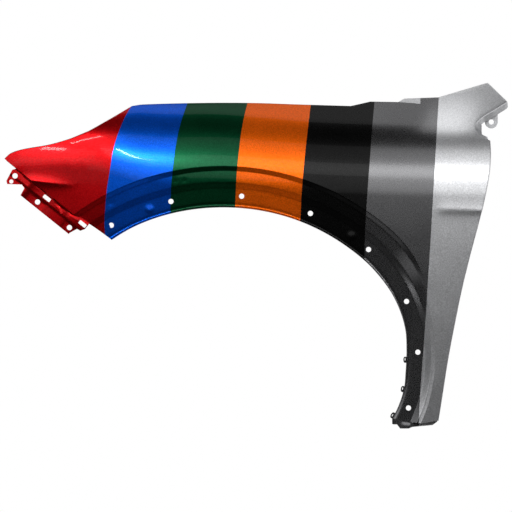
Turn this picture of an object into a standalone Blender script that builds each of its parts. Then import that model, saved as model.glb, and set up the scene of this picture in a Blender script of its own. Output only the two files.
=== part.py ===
"""Front left car fender, pressed from one sheet of steel and painted in seven colour bands.

The nose points to -X, the outer face to -Y and up is +Z. The sheet is lofted: one
section after another runs from the rolled wheel arch edge, over the stepped arch
band and the skin, to the headlight edge, the hood line, the horn or the door edge,
where it folds inboard. The sheet is then given its thickness, trimmed and pierced.
Sizes are in millimetres from the wheel centre. Blender's units are metres.
"""

import math

import bmesh
import bpy
from mathutils import Matrix, Vector

MM = 0.001

# The sheet
SHEET = 0.8
FOLD_RADIUS = 2.4
FOLD_STEPS = 3

# The wheel arch edge: three arcs, each tangent to the one before it
ARCH_RADIUS = 421.5
ARCH_START = -32.0
ARCH_CROWN_END = 30.5
SHOULDER_RADIUS = 462.0
SHOULDER_END = 39.0
LEG_RADIUS = 260.0
ARCH_END = 118.0
ARCH_START_SKEW = 4.2
ARCH_END_SKEW = 5.0
ARCH_END_SKEW_FROM = 100.0

# The arch band, measured outward from the arch edge
ROLL_WIDTH = 12.0
ROLL_STEPS = 3
EDGE_SHIFT = ((-32.0, -2.0), (-24.0, 0.0), (0.0, -0.5), (26.0, 1.2), (50.0, 2.0), (64.0, 4.2), (78.0, 4.2),
              (87.0, 1.2), (96.0, 0.6), (103.0, 3.2), (112.0, 3.6), (118.0, 2.5))
LIP = 6.0
HOLE_LINE = 23.5
LOWER_STEP_START = 38.0
LOWER_STEP_WIDTH = 12.0
LOWER_STEP_DEPTH = 6.0
UPPER_STEP_START = 73.0
UPPER_STEP_WIDTH = 9.0
UPPER_STEP_DEPTH = 6.0
STEP_EASE = 2.0
STEP_EASE_RISE = 0.15
UPPER_STEP_FADE_START = 48.0
UPPER_STEP_FADE_END = 64.0
LEG_SKIN_SHARE = 0.30
LEG_SKIN_SHARE_FROM = 47.0
LEG_SKIN_SHARE_TO = 85.0

# Outline seen from the side
NOSE_TIP = (-436.0, 518.0)
HEADLIGHT_EDGE = ((-425.0, 528.0), (-401.0, 536.0), (-341.0, 547.0), (-281.0, 567.0), (-233.0, 593.0))
HOOD_CORNER = (-179.0, 625.0)
HOOD_LINE = ((-160.0, 627.0), (-45.0, 630.0), (60.0, 630.0), (155.0, 627.0), (257.0, 624.0))
COWL_LINE = ((296.0, 633.0), (352.0, 632.0), (365.0, 639.0), (433.0, 641.5))
HORN_ROOT = (471.0, 653.0)
HORN_TIP = (530.5, 670.8)
HORN_END = (568.3, 633.6)
HORN_UNDERSIDE = ((540.0, 616.0), (519.0, 604.0), (506.0, 592.0))
HORN_THROAT = (503.0, 582.0)
THROAT_LINE = ((506.0, 574.0), (514.0, 562.0))
DOOR_CORNER = (533.0, 555.0)
DOOR_EDGE = ((534.0, 526.0), (531.0, 490.0), (522.0, 440.0), (508.0, 384.0), (492.0, 324.0),
             (476.0, 258.0), (460.0, 180.0), (448.0, 116.0), (438.0, 52.0))
DOOR_FOOT = (429.0, -5.0)
FOOT_LINE = ((336.0, -10.0), (341.0, -12.4), (349.0, -12.4), (354.0, -20.6), (373.0, -20.6), (377.0, -17.6),
             (419.5, -13.6))
FOOT_TAPER_START = 400.0
FOOT_END = 419.5
FOOT_JOG = 1.5
FOOT_FLANGE = 4.0

# The skin's curvature: how far it lies inboard of its outermost line
NOSE_WRAP = 125.0
NOSE_WRAP_START = 40.0
NOSE_WRAP_POWER = 2.2
REAR_WRAP = 10.0
REAR_WRAP_START = 250.0
SHOULDER_LINE = ((-436.0, 492.0), (-265.0, 500.0), (-145.0, 470.0), (0.0, 465.0), (225.0, 450.0),
                 (570.0, 440.0))
CROWN_HEIGHT = ((-436.0, 120.0), (-265.0, 110.0), (-145.0, 155.0), (225.0, 150.0), (570.0, 134.0))
CROWN_ANGLE = ((-436.0, 50.0), (-145.0, 62.0), (225.0, 60.0), (570.0, 53.0))
LEG_TUCK = 18.0
LEG_HEIGHT = 490.0
SLOPE_STEP = 0.5

# The crease that starts at the nose edge and fades towards the arch
CREASE_LINE = ((-400.0, 472.0), (-382.0, 474.0), (-330.0, 468.0), (-280.0, 464.0))
CREASE_HEIGHT = 3.5
CREASE_FADE_START = -370.0
CREASE_FADE_END = -285.0
CREASE_ABOVE = 22.0
CREASE_BELOW = 7.0

# Where the arch sections start that meet the ends of the outline's parts, and where they begin to lean
LEAN_START = 12.0
ROOT_ANGLE = 43.0
THROAT_ANGLE = 49.0
CORNER_ANGLE = 53.0

# Rows and columns of the loft
NOSE_COLUMNS = 8
HOOD_COLUMNS = 32
ROOT_COLUMNS = 4
THROAT_COLUMNS = 3
DOOR_COLUMNS = 22
HORN_COLUMNS = 8
SKIN_ROWS = 9
SKIN_ROW_POWER = 1.25

# Folds along the outline: bend angle and wall length
FLANGE_HEIGHT = 598.0
FLANGE_WIDTH = 26.0
HOOD_FLANGE_END = 355.0
WALL_SHARES = (0.4, 0.7, 1.0)
FOLDS = {
    "headlight": (90.0, 13.0),
    "hood": (88.0, 0.0),
    "cowl": (88.0, 9.0),
    "horn": (84.0, 12.0),
    "underside": (84.0, 13.0),
    "throat": (40.0, 0.0),
    "door": (92.0, 11.0),
}

# The web in the throat: outline height, and the place of the web's edge across from it
THROAT_WEB = ((562.0, 529.0, 562.0), (574.0, 518.5, 567.0), (582.0, 518.0, 576.0), (592.0, 518.5, 586.0))
THROAT_WEB_DEPTH = 9.0
THROAT_LEAD = 7.0

# The front fixing strip, measured along the nose edge and down from it
STRIP_START = 31.0
STRIP_STEP = 3.0
STRIP_STEP_SHARES = (0.25, 0.6, 1.0)
STRIP_DEPTH = 7.0
STRIP_JOG = 17.0
STRIP_JOG_EASE = 1.0
STRIP_JOG_DEPTH = 2.0
STRIP_WIDTH = 37.0
TAB_TRIM = ((-30.0, 4.5), (-7.5, 4.5), (-1.5, 32.0), (4.0, 36.0), (27.5, 18.6), (36.0, 21.0), (38.5, 35.0),
            (46.0, 60.0), (-30.0, 60.0))
END_TRIM = ((163.0, 34.0), (169.5, 18.5), (177.0, 17.5), (187.0, 1.0), (215.0, 1.0), (215.0, 60.0),
            (163.0, 60.0))

# Holes and slots
CLIP_HOLE = 10.4
CLIP_HOLE_ANGLES = (-30.0, -13.4, 4.9, 23.2, 40.7, 66.9, 88.0, 111.0)
STRIP_HOLES = ((74.0, 26.0, 10.6), (156.0, 26.0, 10.6), (6.0, 13.5, 10.8), (7.2, 27.0, 8.2))
STRIP_SLOTS = ((84.0, 8.5), (172.0, 4.0))
SLOT_LENGTH = 17.0
SLOT_WIDTH = 9.0
SLOT_CORNER = 1.8
FLANGE_HOLE = 9.0
FLANGE_HOLE_PLACES = (-120.0, 60.0, 250.0)
HOLE_SIDES = 20
PIERCE = 10.0
STRIP_PIERCE = 60.0
EAR_PIERCE = 6.0
TRIM_MARGIN = 60.0

# Ears of the arch lip and the lug under the horn
EAR_ANGLES = (91.0, 104.0, 116.5)
EAR_LENGTH = 15.0
EAR_LEAN = 6.0
EAR_TAPER = 0.2
EAR_HOLE = 6.0
LUG_CENTRE = (538.0, 592.5)
LUG_RADIUS = 13.0
LUG_HOLE = 10.4
LUG_STEPS = 6
LUG_NECK = 0.8
LUG_SHELF = 4.0

# The mount point on the hood-side bolt flange
MOUNT_X = -20.0

# Paint bands, front to rear: colour, roughness, metallic
PAINTS = (
    ("red_paint", (0.62, 0.012, 0.018, 1.0), 0.30, 0.35),
    ("blue_paint", (0.0, 0.13, 0.62, 1.0), 0.30, 0.45),
    ("green_paint", (0.0, 0.085, 0.038, 1.0), 0.30, 0.45),
    ("orange_paint", (0.72, 0.13, 0.004, 1.0), 0.30, 0.40),
    ("black_paint", (0.011, 0.011, 0.011, 1.0), 0.28, 0.30),
    ("charcoal_paint", (0.11, 0.11, 0.118, 1.0), 0.32, 0.60),
    ("silver_paint", (0.47, 0.48, 0.50, 1.0), 0.32, 0.70),
)
BAND_BORDERS = (((-185.0, 621.0), (-236.0, 370.0)), ((-72.0, 628.0), (-104.0, 411.0)),
                ((49.0, 628.0), (25.0, 422.0)), ((175.0, 624.0), (155.0, 398.0)),
                ((302.0, 633.0), (283.0, 365.0)), ((432.0, 640.0), (392.0, -14.0)))

BORDER_SNAP = 0.3
SMOOTH_ANGLE = 35.0


def blend(low, high, value):
    """Smooth 0 to 1 as value goes from low to high."""
    t = min(max((value - low) / (high - low), 0.0), 1.0)
    return t * t * (3.0 - 2.0 * t)


def along(points, value):
    """Straight interpolation of the second coordinate at a value of the first."""
    if value <= points[0][0]:
        return points[0][1]
    for (x0, y0), (x1, y1) in zip(points, points[1:]):
        if value <= x1:
            return y0 + (y1 - y0) * (value - x0) / (x1 - x0)
    return points[-1][1]


def smooth_along(points, value):
    """Cubic interpolation with slopes limited by the neighbouring spans."""
    xs = [p[0] for p in points]
    ys = [p[1] for p in points]
    value = min(max(value, xs[0]), xs[-1])
    last = len(xs) - 1
    i = 0
    while i < last - 1 and value > xs[i + 1]:
        i += 1

    def chord(k):
        return (ys[k + 1] - ys[k]) / (xs[k + 1] - xs[k])

    def slope(k):
        if k == 0:
            return chord(0)
        if k == last:
            return chord(last - 1)
        return (ys[k + 1] - ys[k - 1]) / (xs[k + 1] - xs[k - 1])

    h = xs[i + 1] - xs[i]
    t = (value - xs[i]) / h
    return ((2 * t ** 3 - 3 * t ** 2 + 1) * ys[i] + (t ** 3 - 2 * t ** 2 + t) * h * slope(i)
            + (3 * t ** 2 - 2 * t ** 3) * ys[i + 1] + (t ** 3 - t ** 2) * h * slope(i + 1))


def arch_point(angle, outward):
    """Point at a distance outward from the arch edge, where the edge's normal leans by angle."""
    def normal(a):
        return math.sin(math.radians(a)), math.cos(math.radians(a))

    nx, nz = normal(angle)
    cx, cz = 0.0, 0.0
    radius = ARCH_RADIUS
    for end, next_radius in ((ARCH_CROWN_END, SHOULDER_RADIUS), (SHOULDER_END, LEG_RADIUS)):
        if angle > end:
            ex, ez = normal(end)
            cx += (radius - next_radius) * ex
            cz += (radius - next_radius) * ez
            radius = next_radius
    return cx + (radius + outward) * nx, cz + (radius + outward) * nz


def crease_height(x, z):
    """How far the crease of the nose stands proud."""
    fade = 1.0 - blend(CREASE_FADE_START, CREASE_FADE_END, x)
    above = z - along(CREASE_LINE, x)
    reach = CREASE_ABOVE if above > 0.0 else CREASE_BELOW
    return CREASE_HEIGHT * fade * math.exp(-abs(above) / reach)


def skin_depth(x, z):
    """How far inboard the outer skin lies at a point of the side view."""
    nose = max(0.0, (NOSE_WRAP_START - x) / (NOSE_WRAP_START - NOSE_TIP[0]))
    rear = max(0.0, (x - REAR_WRAP_START) / (DOOR_CORNER[0] - REAR_WRAP_START))
    depth = NOSE_WRAP * nose ** NOSE_WRAP_POWER + REAR_WRAP * rear ** 2 - crease_height(x, z)
    rise = z - smooth_along(SHOULDER_LINE, x)
    if rise < 0.0:
        return depth + LEG_TUCK * (rise / LEG_HEIGHT) ** 2
    height = smooth_along(CROWN_HEIGHT, x)
    angle = math.radians(smooth_along(CROWN_ANGLE, x))
    turned = min(rise / height, 1.0) * angle
    return depth - height / angle * math.log(math.cos(turned)) + math.tan(angle) * max(rise - height, 0.0)


def skin_point(x, z, recess=0.0):
    """Point of the outer face, set inboard by recess."""
    return Vector((x, skin_depth(x, z) + recess, z))


def skin_normal(x, z):
    """Outward normal of the skin."""
    dx = (skin_depth(x + SLOPE_STEP, z) - skin_depth(x - SLOPE_STEP, z)) / (2 * SLOPE_STEP)
    dz = (skin_depth(x, z + SLOPE_STEP) - skin_depth(x, z - SLOPE_STEP)) / (2 * SLOPE_STEP)
    return Vector((dx, -1.0, dz)).normalized()


def band_profile(angle):
    """Arch band section from the lip outward: distance from the arch edge and recess."""
    upper = UPPER_STEP_DEPTH * (1.0 - blend(UPPER_STEP_FADE_START, UPPER_STEP_FADE_END, angle))
    floor = LOWER_STEP_DEPTH + UPPER_STEP_DEPTH
    edge = smooth_along(EDGE_SHIFT, angle)
    radius = ROLL_WIDTH - edge
    profile = [(edge, floor + radius + LIP)]
    for k in range(ROLL_STEPS + 1):
        turn = math.pi / 2 * (1.0 - k / ROLL_STEPS)
        profile.append((edge + radius * (1.0 - math.sin(turn)), floor + radius * (1.0 - math.cos(turn))))
    profile.append((HOLE_LINE, floor))
    for start, width, low, high in ((LOWER_STEP_START, LOWER_STEP_WIDTH, floor, upper),
                                    (UPPER_STEP_START, UPPER_STEP_WIDTH, upper, 0.0)):
        rise = (high - low) * STEP_EASE_RISE
        profile += [(start - STEP_EASE, low), (start + STEP_EASE, low + rise),
                    (start + width - STEP_EASE, high - rise), (start + width + STEP_EASE, high)]
    return profile


def skin_rows(start, top):
    """Points of the skin from start, a point of the side view, to the outline point top."""
    points = []
    for k in range(1, SKIN_ROWS + 1):
        t = 1.0 - (1.0 - k / SKIN_ROWS) ** SKIN_ROW_POWER
        points.append(skin_point(start[0] + (top[0] - start[0]) * t, start[1] + (top[1] - start[1]) * t))
    return points


def arch_section(angle, top):
    """Section from the arch lip to the outline point top, as points of the outer face."""
    skew = ARCH_START_SKEW * max(angle / ARCH_START, 0.0)
    skew += ARCH_END_SKEW * blend(ARCH_END_SKEW_FROM, ARCH_END, angle)
    profile = band_profile(angle)
    reach = UPPER_STEP_START + UPPER_STEP_WIDTH + STEP_EASE
    squeeze = 1.0 - (1.0 - LEG_SKIN_SHARE) * blend(LEG_SKIN_SHARE_FROM, LEG_SKIN_SHARE_TO, angle)
    knee = LOWER_STEP_START + LOWER_STEP_WIDTH + STEP_EASE
    points = []
    for outward, recess in profile:
        if outward > knee:
            outward = knee + (outward - knee) * squeeze
        x, z = arch_point(angle - skew * outward / reach, outward)
        points.append(skin_point(x, z, recess))
    return points + skin_rows((points[-1].x, points[-1].z), top)


def hood_height(x):
    """Height of the headlight edge, hood line and cowl line at a place along the car."""
    if x > HOOD_LINE[-1][0]:
        return along((HOOD_LINE[-1],) + COWL_LINE + (HORN_ROOT,), x)
    return smooth_along((NOSE_TIP,) + HEADLIGHT_EDGE + (HOOD_CORNER,) + HOOD_LINE, x)


def point_on(points, share):
    """Point at a share of the length of a chain of points."""
    lengths = [math.dist(a, b) for a, b in zip(points, points[1:])]
    left = share * sum(lengths)
    for a, b, length in zip(points, points[1:], lengths):
        if left <= length or b is points[-1]:
            t = min(left / length, 1.0)
            return tuple(p + (q - p) * t for p, q in zip(a, b))
        left -= length
    return points[-1]


def outline_top(angle):
    """Outline point that the arch section at this angle runs to, and the name of its fold."""
    reach = UPPER_STEP_START + UPPER_STEP_WIDTH + STEP_EASE
    if angle < ROOT_ANGLE:
        crease_x, _ = arch_point(angle, reach)
        root_x, _ = arch_point(ROOT_ANGLE, reach)
        x = crease_x + (HORN_ROOT[0] - root_x) * blend(LEAN_START, ROOT_ANGLE, angle)
        return x, hood_height(x)
    if angle < THROAT_ANGLE:
        return point_on((HORN_ROOT, HORN_THROAT), (angle - ROOT_ANGLE) / (THROAT_ANGLE - ROOT_ANGLE))
    if angle < CORNER_ANGLE:
        share = (angle - THROAT_ANGLE) / (CORNER_ANGLE - THROAT_ANGLE)
        return point_on((HORN_THROAT,) + THROAT_LINE + (DOOR_CORNER,), share)
    z = DOOR_CORNER[1] + (DOOR_FOOT[1] - DOOR_CORNER[1]) * (angle - CORNER_ANGLE) / (ARCH_END - CORNER_ANGLE)
    edge = [(point[1], point[0]) for point in reversed((DOOR_CORNER,) + DOOR_EDGE + (DOOR_FOOT,))]
    return smooth_along(edge, z), z


def snapped(values, marks):
    """Values in order, with a different one moved onto each mark: the nearest that is free."""
    values = list(values)
    free = list(range(len(values)))
    for mark in marks:
        nearest = min(free, key=lambda k: abs(values[k] - mark))
        free.remove(nearest)
        values[nearest] = mark
    return sorted(values)


def top_fold(x, angle):
    """Name of the fold at the top of an arch section."""
    if angle >= CORNER_ANGLE:
        return "door"
    if angle >= THROAT_ANGLE:
        return "throat"
    if x < HOOD_CORNER[0]:
        return "headlight"
    return "hood" if x < HOOD_FLANGE_END else "cowl"


def spread(start, end, count):
    """Values from start up to, but not including, end."""
    return [start + (end - start) * k / count for k in range(count)]


def add_points(mesh, points):
    """New vertices of the mesh at points in millimetres."""
    return [mesh.verts.new(point) for point in points]


def add_strip(mesh, left, right):
    """Faces between two rows of vertices, seen from outside with left on the nose side."""
    for a, b, c, d in zip(left, right, right[1:], left[1:]):
        mesh.faces.new((a, b, c, d))


class Outline:
    """The folded outline: its vertices, the fold that each one has, and which way is out."""

    def __init__(self):
        self.verts = []
        self.folds = []

    def add(self, vert, fold):
        """Take one more vertex, in order from the nose over the top to the foot."""
        self.verts.append(vert)
        self.folds.append(fold)

    def frame(self, index):
        """Outward and inboard directions of the sheet at a vertex."""
        points = [vert.co for vert in self.verts]
        before = points[max(index - 1, 0)]
        after = points[min(index + 1, len(points) - 1)]
        normal = skin_normal(points[index].x, points[index].z)
        outward = normal.cross((after - before).normalized()).normalized()
        return outward, -normal

    def fold(self, mesh):
        """Turn the sheet inboard all along the outline."""
        rows = []
        for index, vert in enumerate(self.verts):
            outward, inboard = self.frame(index)
            rows.append([vert] + add_points(mesh, folded(vert.co, outward, inboard, self.folds[index])))
        for left, right in zip(rows, rows[1:]):
            add_strip(mesh, left, right)
        return rows


def folded(point, outward, inboard, fold):
    """Points of the fold that starts at an outline point."""
    angle, wall = FOLDS[fold]
    bend = math.radians(angle)
    points = []
    for k in range(1, FOLD_STEPS + 1):
        turn = bend * k / FOLD_STEPS
        points.append(point + FOLD_RADIUS * (math.sin(turn) * outward + (1.0 - math.cos(turn)) * inboard))
    ahead = math.cos(bend) * outward + math.sin(bend) * inboard
    level = Vector((ahead.x, ahead.y, 0.0)).normalized()
    if fold == "hood":
        wall = (FLANGE_HEIGHT + FOLD_RADIUS - points[-1].z) / ahead.z
        points.append(points[-1] + wall * ahead)
        start = points[-1] + FOLD_RADIUS * level
        start.z = FLANGE_HEIGHT
        points += [start, start + FLANGE_WIDTH * level]
    elif fold == "throat":
        x = along([(mark[0], mark[1]) for mark in THROAT_WEB], point.z)
        z = along([(mark[0], mark[2]) for mark in THROAT_WEB], point.z)
        edge = Vector((x, point.y + THROAT_WEB_DEPTH, z))
        points += [points[-1].lerp(edge, share) for share in WALL_SHARES]
    else:
        points += [points[-1] + wall * share * ahead for share in WALL_SHARES]
    return points


def nose_heel():
    """Lowest point of the skin, where the nose edge meets the arch band."""
    return arch_point(ARCH_START - ARCH_START_SKEW, UPPER_STEP_START + UPPER_STEP_WIDTH + STEP_EASE)


def strip_axes():
    """Origin and directions, along the nose edge and down from it, of the fixing strip."""
    heel = Vector(nose_heel())
    tip = Vector(NOSE_TIP)
    along_edge = (heel - tip).normalized()
    down = Vector((along_edge.y, -along_edge.x))
    return tip + along_edge * STRIP_START, along_edge, down


def strip_place(s, t):
    """Side view place at s along the nose edge and t down from it."""
    origin, along_edge, down = strip_axes()
    return origin + along_edge * s + down * t


def build_loft(mesh, outline):
    """Nose, skin and arch band. Returns the vertex columns of nose and arch."""
    heel = nose_heel()
    nose = []
    for k in range(1, NOSE_COLUMNS):
        x, z = point_on((NOSE_TIP, heel), k / NOSE_COLUMNS)
        points = [skin_point(x, z)] + skin_rows((x, z), (x, hood_height(x)))
        nose.append(add_points(mesh, points))
    tip = mesh.verts.new(skin_point(*NOSE_TIP))
    first = nose[0]
    for low, high in zip(first, first[1:]):
        mesh.faces.new((tip, low, high))
    outline.add(tip, "headlight")
    angles = spread(ARCH_START, ROOT_ANGLE, HOOD_COLUMNS) + spread(ROOT_ANGLE, THROAT_ANGLE, ROOT_COLUMNS)
    angles += spread(THROAT_ANGLE, CORNER_ANGLE, THROAT_COLUMNS)
    angles += spread(CORNER_ANGLE, ARCH_END, DOOR_COLUMNS) + [ARCH_END]
    hood_x = [outline_top(angle)[0] for angle in angles[:HOOD_COLUMNS]]
    hood_x = snapped(hood_x, [HOOD_CORNER[0], HOOD_LINE[-1][0]] + [point[0] for point in COWL_LINE])
    tops = [(x, hood_height(x)) for x in hood_x] + [outline_top(angle) for angle in angles[HOOD_COLUMNS:]]
    arch = [add_points(mesh, arch_section(angle, top)) for angle, top in zip(angles, tops)]
    arch += build_foot(mesh, arch[-1])
    for left, right in zip(arch, arch[1:]):
        add_strip(mesh, left, right)
    skin_start = len(arch[0]) - len(first)
    nose.append(arch[0][skin_start:])
    for left, right in zip(nose, nose[1:]):
        add_strip(mesh, left, right)
    for column in nose[:-1]:
        outline.add(column[-1], "headlight")
    add_ears(mesh, arch, angles)
    return nose, arch, angles


def build_foot(mesh, section):
    """Jog below the last arch section and the flange under it, which lies level with the band's floor."""
    floor = LOWER_STEP_DEPTH + UPPER_STEP_DEPTH
    jog = []
    flange = []
    for vert in section:
        x, y, z = vert.co
        depth = max(y, skin_depth(x, z) + floor)
        jog.append(Vector((x, depth, z - FOOT_JOG)))
        share = max(x - FOOT_TAPER_START, 0.0) / (DOOR_FOOT[0] - FOOT_TAPER_START)
        end = x + share * (FOOT_END - DOOR_FOOT[0])
        flange.append(Vector((end, depth, min(along(FOOT_LINE, end), z - FOOT_FLANGE))))
    return [add_points(mesh, jog), add_points(mesh, flange)]


def ear_frame(angle):
    """Middle of the lip's inner edge at an angle, and the direction in which an ear leaves it."""
    edge, depth = band_profile(angle)[0]
    x, z = arch_point(angle, edge)
    lean_x, lean_z = arch_point(angle, edge - EAR_LEAN)
    return skin_point(x, z, depth), Vector((lean_x - x, EAR_LENGTH, lean_z - z))


def add_ears(mesh, arch, angles):
    """Ears that stand inboard from the inner edge of the rolled lip."""
    for ear in EAR_ANGLES:
        index = max(k for k in range(len(angles) - 1) if angles[k] <= ear)
        left, right = arch[index], arch[index + 1]
        _, reach = ear_frame(ear)
        taper = (right[0].co - left[0].co) * EAR_TAPER
        ends = add_points(mesh, [left[0].co + reach + taper, right[0].co + reach - taper])
        mesh.faces.new((ends[0], ends[1], right[0], left[0]))


def add_lug(mesh, outline, rows):
    """Shelf inboard from the fold under the horn, and the round lug that hangs from it. Returns its depth."""
    below = [row[-1] for row, fold in zip(rows, outline.folds) if fold == "underside"]
    first = min(range(len(below)), key=lambda k: abs(below[k].co.x - LUG_CENTRE[0] - LUG_RADIUS))
    carried = [vert for vert in below[first:] if vert.co.x > LUG_CENTRE[0] - LUG_RADIUS]
    depth = carried[0].co.y + LUG_SHELF
    neck = add_points(mesh, [Vector((vert.co.x, depth, vert.co.z - LUG_NECK)) for vert in carried])
    add_strip(mesh, neck, carried)
    points = []
    for k in range(LUG_STEPS + 1):
        turn = math.pi * k / LUG_STEPS
        points.append(Vector((LUG_CENTRE[0] + LUG_RADIUS * math.cos(turn), depth,
                              LUG_CENTRE[1] - LUG_RADIUS * math.sin(turn))))
    mesh.faces.new(neck + list(reversed(add_points(mesh, points))))
    return depth


def build_horn(mesh, root):
    """Horn behind the hood line, from its root column to its end, as a patch between four edges."""
    top = (HORN_ROOT, HORN_TIP)
    end = (HORN_TIP, HORN_END)
    under = (HORN_THROAT,) + tuple(reversed(HORN_UNDERSIDE)) + (HORN_END,)
    count = len(root) - 1
    columns = [root]
    for k in range(1, HORN_COLUMNS + 1):
        u = k / HORN_COLUMNS
        points = []
        for j in range(count + 1):
            v = j / count
            place = []
            for axis in (0, 1):
                root_value = (HORN_ROOT[axis], HORN_THROAT[axis])
                sides = (1 - v) * point_on(top, u)[axis] + v * point_on(under, u)[axis]
                ends = (1 - u) * ((1 - v) * root_value[0] + v * root_value[1]) + u * point_on(end, v)[axis]
                corners = ((1 - u) * ((1 - v) * root_value[0] + v * root_value[1])
                           + u * ((1 - v) * HORN_TIP[axis] + v * HORN_END[axis]))
                place.append(sides + ends - corners)
            points.append(skin_point(*place))
        columns.append(add_points(mesh, points))
    for left, right in zip(columns, columns[1:]):
        for a, b, c, d in zip(left, right, right[1:], left[1:]):
            mesh.faces.new((a, d, c, b))
    return columns


def build_strip(mesh, nose, arch):
    """Step below the nose edge and the fixing strip under it, joined to the end of the arch band."""
    band = arch[0]
    lower = band.index(nose[-1][0])
    origin, along_edge, down = strip_axes()
    columns = []
    for column in nose:
        edge = column[0].co
        points = [edge + Vector((down.x, 0.0, down.y)) * STRIP_STEP * share
                  + Vector((0.0, STRIP_DEPTH * math.sqrt(share), 0.0)) for share in STRIP_STEP_SHARES]
        columns.append([column[0]] + add_points(mesh, points))
    for left, right in zip(columns, columns[1:]):
        add_strip(mesh, list(reversed(left)), list(reversed(right)))
    corner = [band[lower], band[lower - 1], band[lower - 2], band[lower - 3]]
    last = columns[-1]
    mesh.faces.new((last[0], last[1], corner[1]))
    for k in (1, 2):
        mesh.faces.new((last[k], last[k + 1], corner[k + 1], corner[k]))
    start = [column[-1] for column in columns] + [band[lower - 3], band[lower - 4], band[lower - 5]]
    rows = [start]
    for t, depth in ((STRIP_JOG - STRIP_JOG_EASE, 0.0), (STRIP_JOG + STRIP_JOG_EASE, STRIP_JOG_DEPTH),
                     (STRIP_WIDTH, STRIP_JOG_DEPTH)):
        points = []
        for vert in start:
            place = Vector((vert.co.x, vert.co.z))
            s = (place - origin).dot(along_edge)
            x, z = strip_place(s, t)
            points.append(Vector((x, vert.co.y + depth, z)))
        rows.append(add_points(mesh, points))
    for upper, below in zip(rows, rows[1:]):
        for a, b, c, d in zip(upper, upper[1:], below[1:], below):
            mesh.faces.new((a, d, c, b))


def cylinder(mesh, centre, axis, diameter, length):
    """Closed cylinder for a hole."""
    turn = Vector((0.0, 0.0, 1.0)).rotation_difference(axis).to_matrix().to_4x4()
    bmesh.ops.create_cone(mesh, cap_ends=True, segments=HOLE_SIDES, radius1=diameter / 2,
                          radius2=diameter / 2, depth=length, matrix=Matrix.Translation(centre) @ turn)


def prism(mesh, outline, near, far):
    """Closed prism across the car from an outline in the side view."""
    front = add_points(mesh, [Vector((x, near, z)) for x, z in outline])
    back = add_points(mesh, [Vector((x, far, z)) for x, z in outline])
    faces = [mesh.faces.new(front), mesh.faces.new(list(reversed(back)))]
    for k in range(len(front)):
        j = (k + 1) % len(front)
        faces.append(mesh.faces.new((front[k], back[k], back[j], front[j])))
    bmesh.ops.recalc_face_normals(mesh, faces=faces)


def slot_outline(s, t):
    """Outline of a slot of the strip, with cut corners."""
    half_length = SLOT_LENGTH / 2
    half_width = SLOT_WIDTH / 2
    cut = SLOT_CORNER
    corners = []
    for a, b in ((1, 1), (-1, 1), (-1, -1), (1, -1)):
        first = (a * half_length, b * (half_width - cut))
        second = (a * (half_length - cut), b * half_width)
        corners += [first, second] if a * b > 0 else [second, first]
    return [tuple(strip_place(s + ds, t + dt)) for ds, dt in corners]


def build_cutters(mesh, flange, lug_depth):
    """Every hole, slot and trimmed edge of the pressing, as closed solids."""
    across = Vector((0.0, 1.0, 0.0))
    for angle in CLIP_HOLE_ANGLES:
        x, z = arch_point(angle, HOLE_LINE)
        centre = skin_point(x, z, LOWER_STEP_DEPTH + UPPER_STEP_DEPTH)
        cylinder(mesh, centre, across, CLIP_HOLE, PIERCE)
    for s, t, size in STRIP_HOLES:
        x, z = strip_place(s, t)
        cylinder(mesh, skin_point(x, z, STRIP_DEPTH), across, size, STRIP_PIERCE)
    for s, t in STRIP_SLOTS:
        depth = skin_depth(*strip_place(s, t)) + STRIP_DEPTH
        prism(mesh, slot_outline(s, t), depth - STRIP_PIERCE / 2, depth + STRIP_PIERCE / 2)
    for trim in (TAB_TRIM, END_TRIM):
        prism(mesh, [tuple(strip_place(s, t)) for s, t in trim], 0.0, NOSE_WRAP + TRIM_MARGIN)
    for ear in EAR_ANGLES:
        centre, reach = ear_frame(ear)
        tangent = Vector((math.cos(math.radians(ear)), 0.0, -math.sin(math.radians(ear))))
        cylinder(mesh, centre + 0.5 * reach, reach.cross(tangent).normalized(), EAR_HOLE, EAR_PIERCE)
    cylinder(mesh, Vector((LUG_CENTRE[0], lug_depth, LUG_CENTRE[1])), across, LUG_HOLE, PIERCE)
    for x in FLANGE_HOLE_PLACES:
        y = along(flange, x)
        cylinder(mesh, Vector((x, y, FLANGE_HEIGHT)), Vector((0.0, 0.0, 1.0)), FLANGE_HOLE, PIERCE)


def band_planes():
    """Point and rearward normal of each plane that parts two paints."""
    planes = []
    for high, low in BAND_BORDERS:
        normal = Vector((high[1] - low[1], 0.0, low[0] - high[0])).normalized()
        planes.append((Vector((high[0], 0.0, high[1])), normal))
    return planes


def divide_at_bands(mesh):
    """Edges along the band borders."""
    for point, normal in band_planes():
        geometry = mesh.verts[:] + mesh.edges[:] + mesh.faces[:]
        bmesh.ops.bisect_plane(mesh, geom=geometry, dist=BORDER_SNAP, plane_co=point, plane_no=normal)


def paint(mesh):
    """Give each face the paint of the band that it lies in."""
    planes = band_planes()
    for face in mesh.faces:
        centre = face.calc_center_median()
        face.material_index = sum((centre - point).dot(normal) > 0.0 for point, normal in planes)


def paint_material(name, colour, roughness, metallic):
    """Principled material of one paint."""
    material = bpy.data.materials.new(name)
    material.use_nodes = True
    shader = material.node_tree.nodes["Principled BSDF"]
    shader.inputs["Base Color"].default_value = colour
    shader.inputs["Roughness"].default_value = roughness
    shader.inputs["Metallic"].default_value = metallic
    shader.inputs["Coat Weight"].default_value = 1.0
    material.diffuse_color = colour
    return material


def make_object(name, mesh, mount):
    """Object in metres from a mesh in millimetres, placed with the mount point at the origin."""
    bmesh.ops.translate(mesh, verts=mesh.verts, vec=-mount)
    bmesh.ops.scale(mesh, verts=mesh.verts, vec=Vector((MM, MM, MM)))
    data = bpy.data.meshes.new(name)
    mesh.to_mesh(data)
    mesh.free()
    item = bpy.data.objects.new(name, data)
    bpy.context.scene.collection.objects.link(item)
    return item


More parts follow.
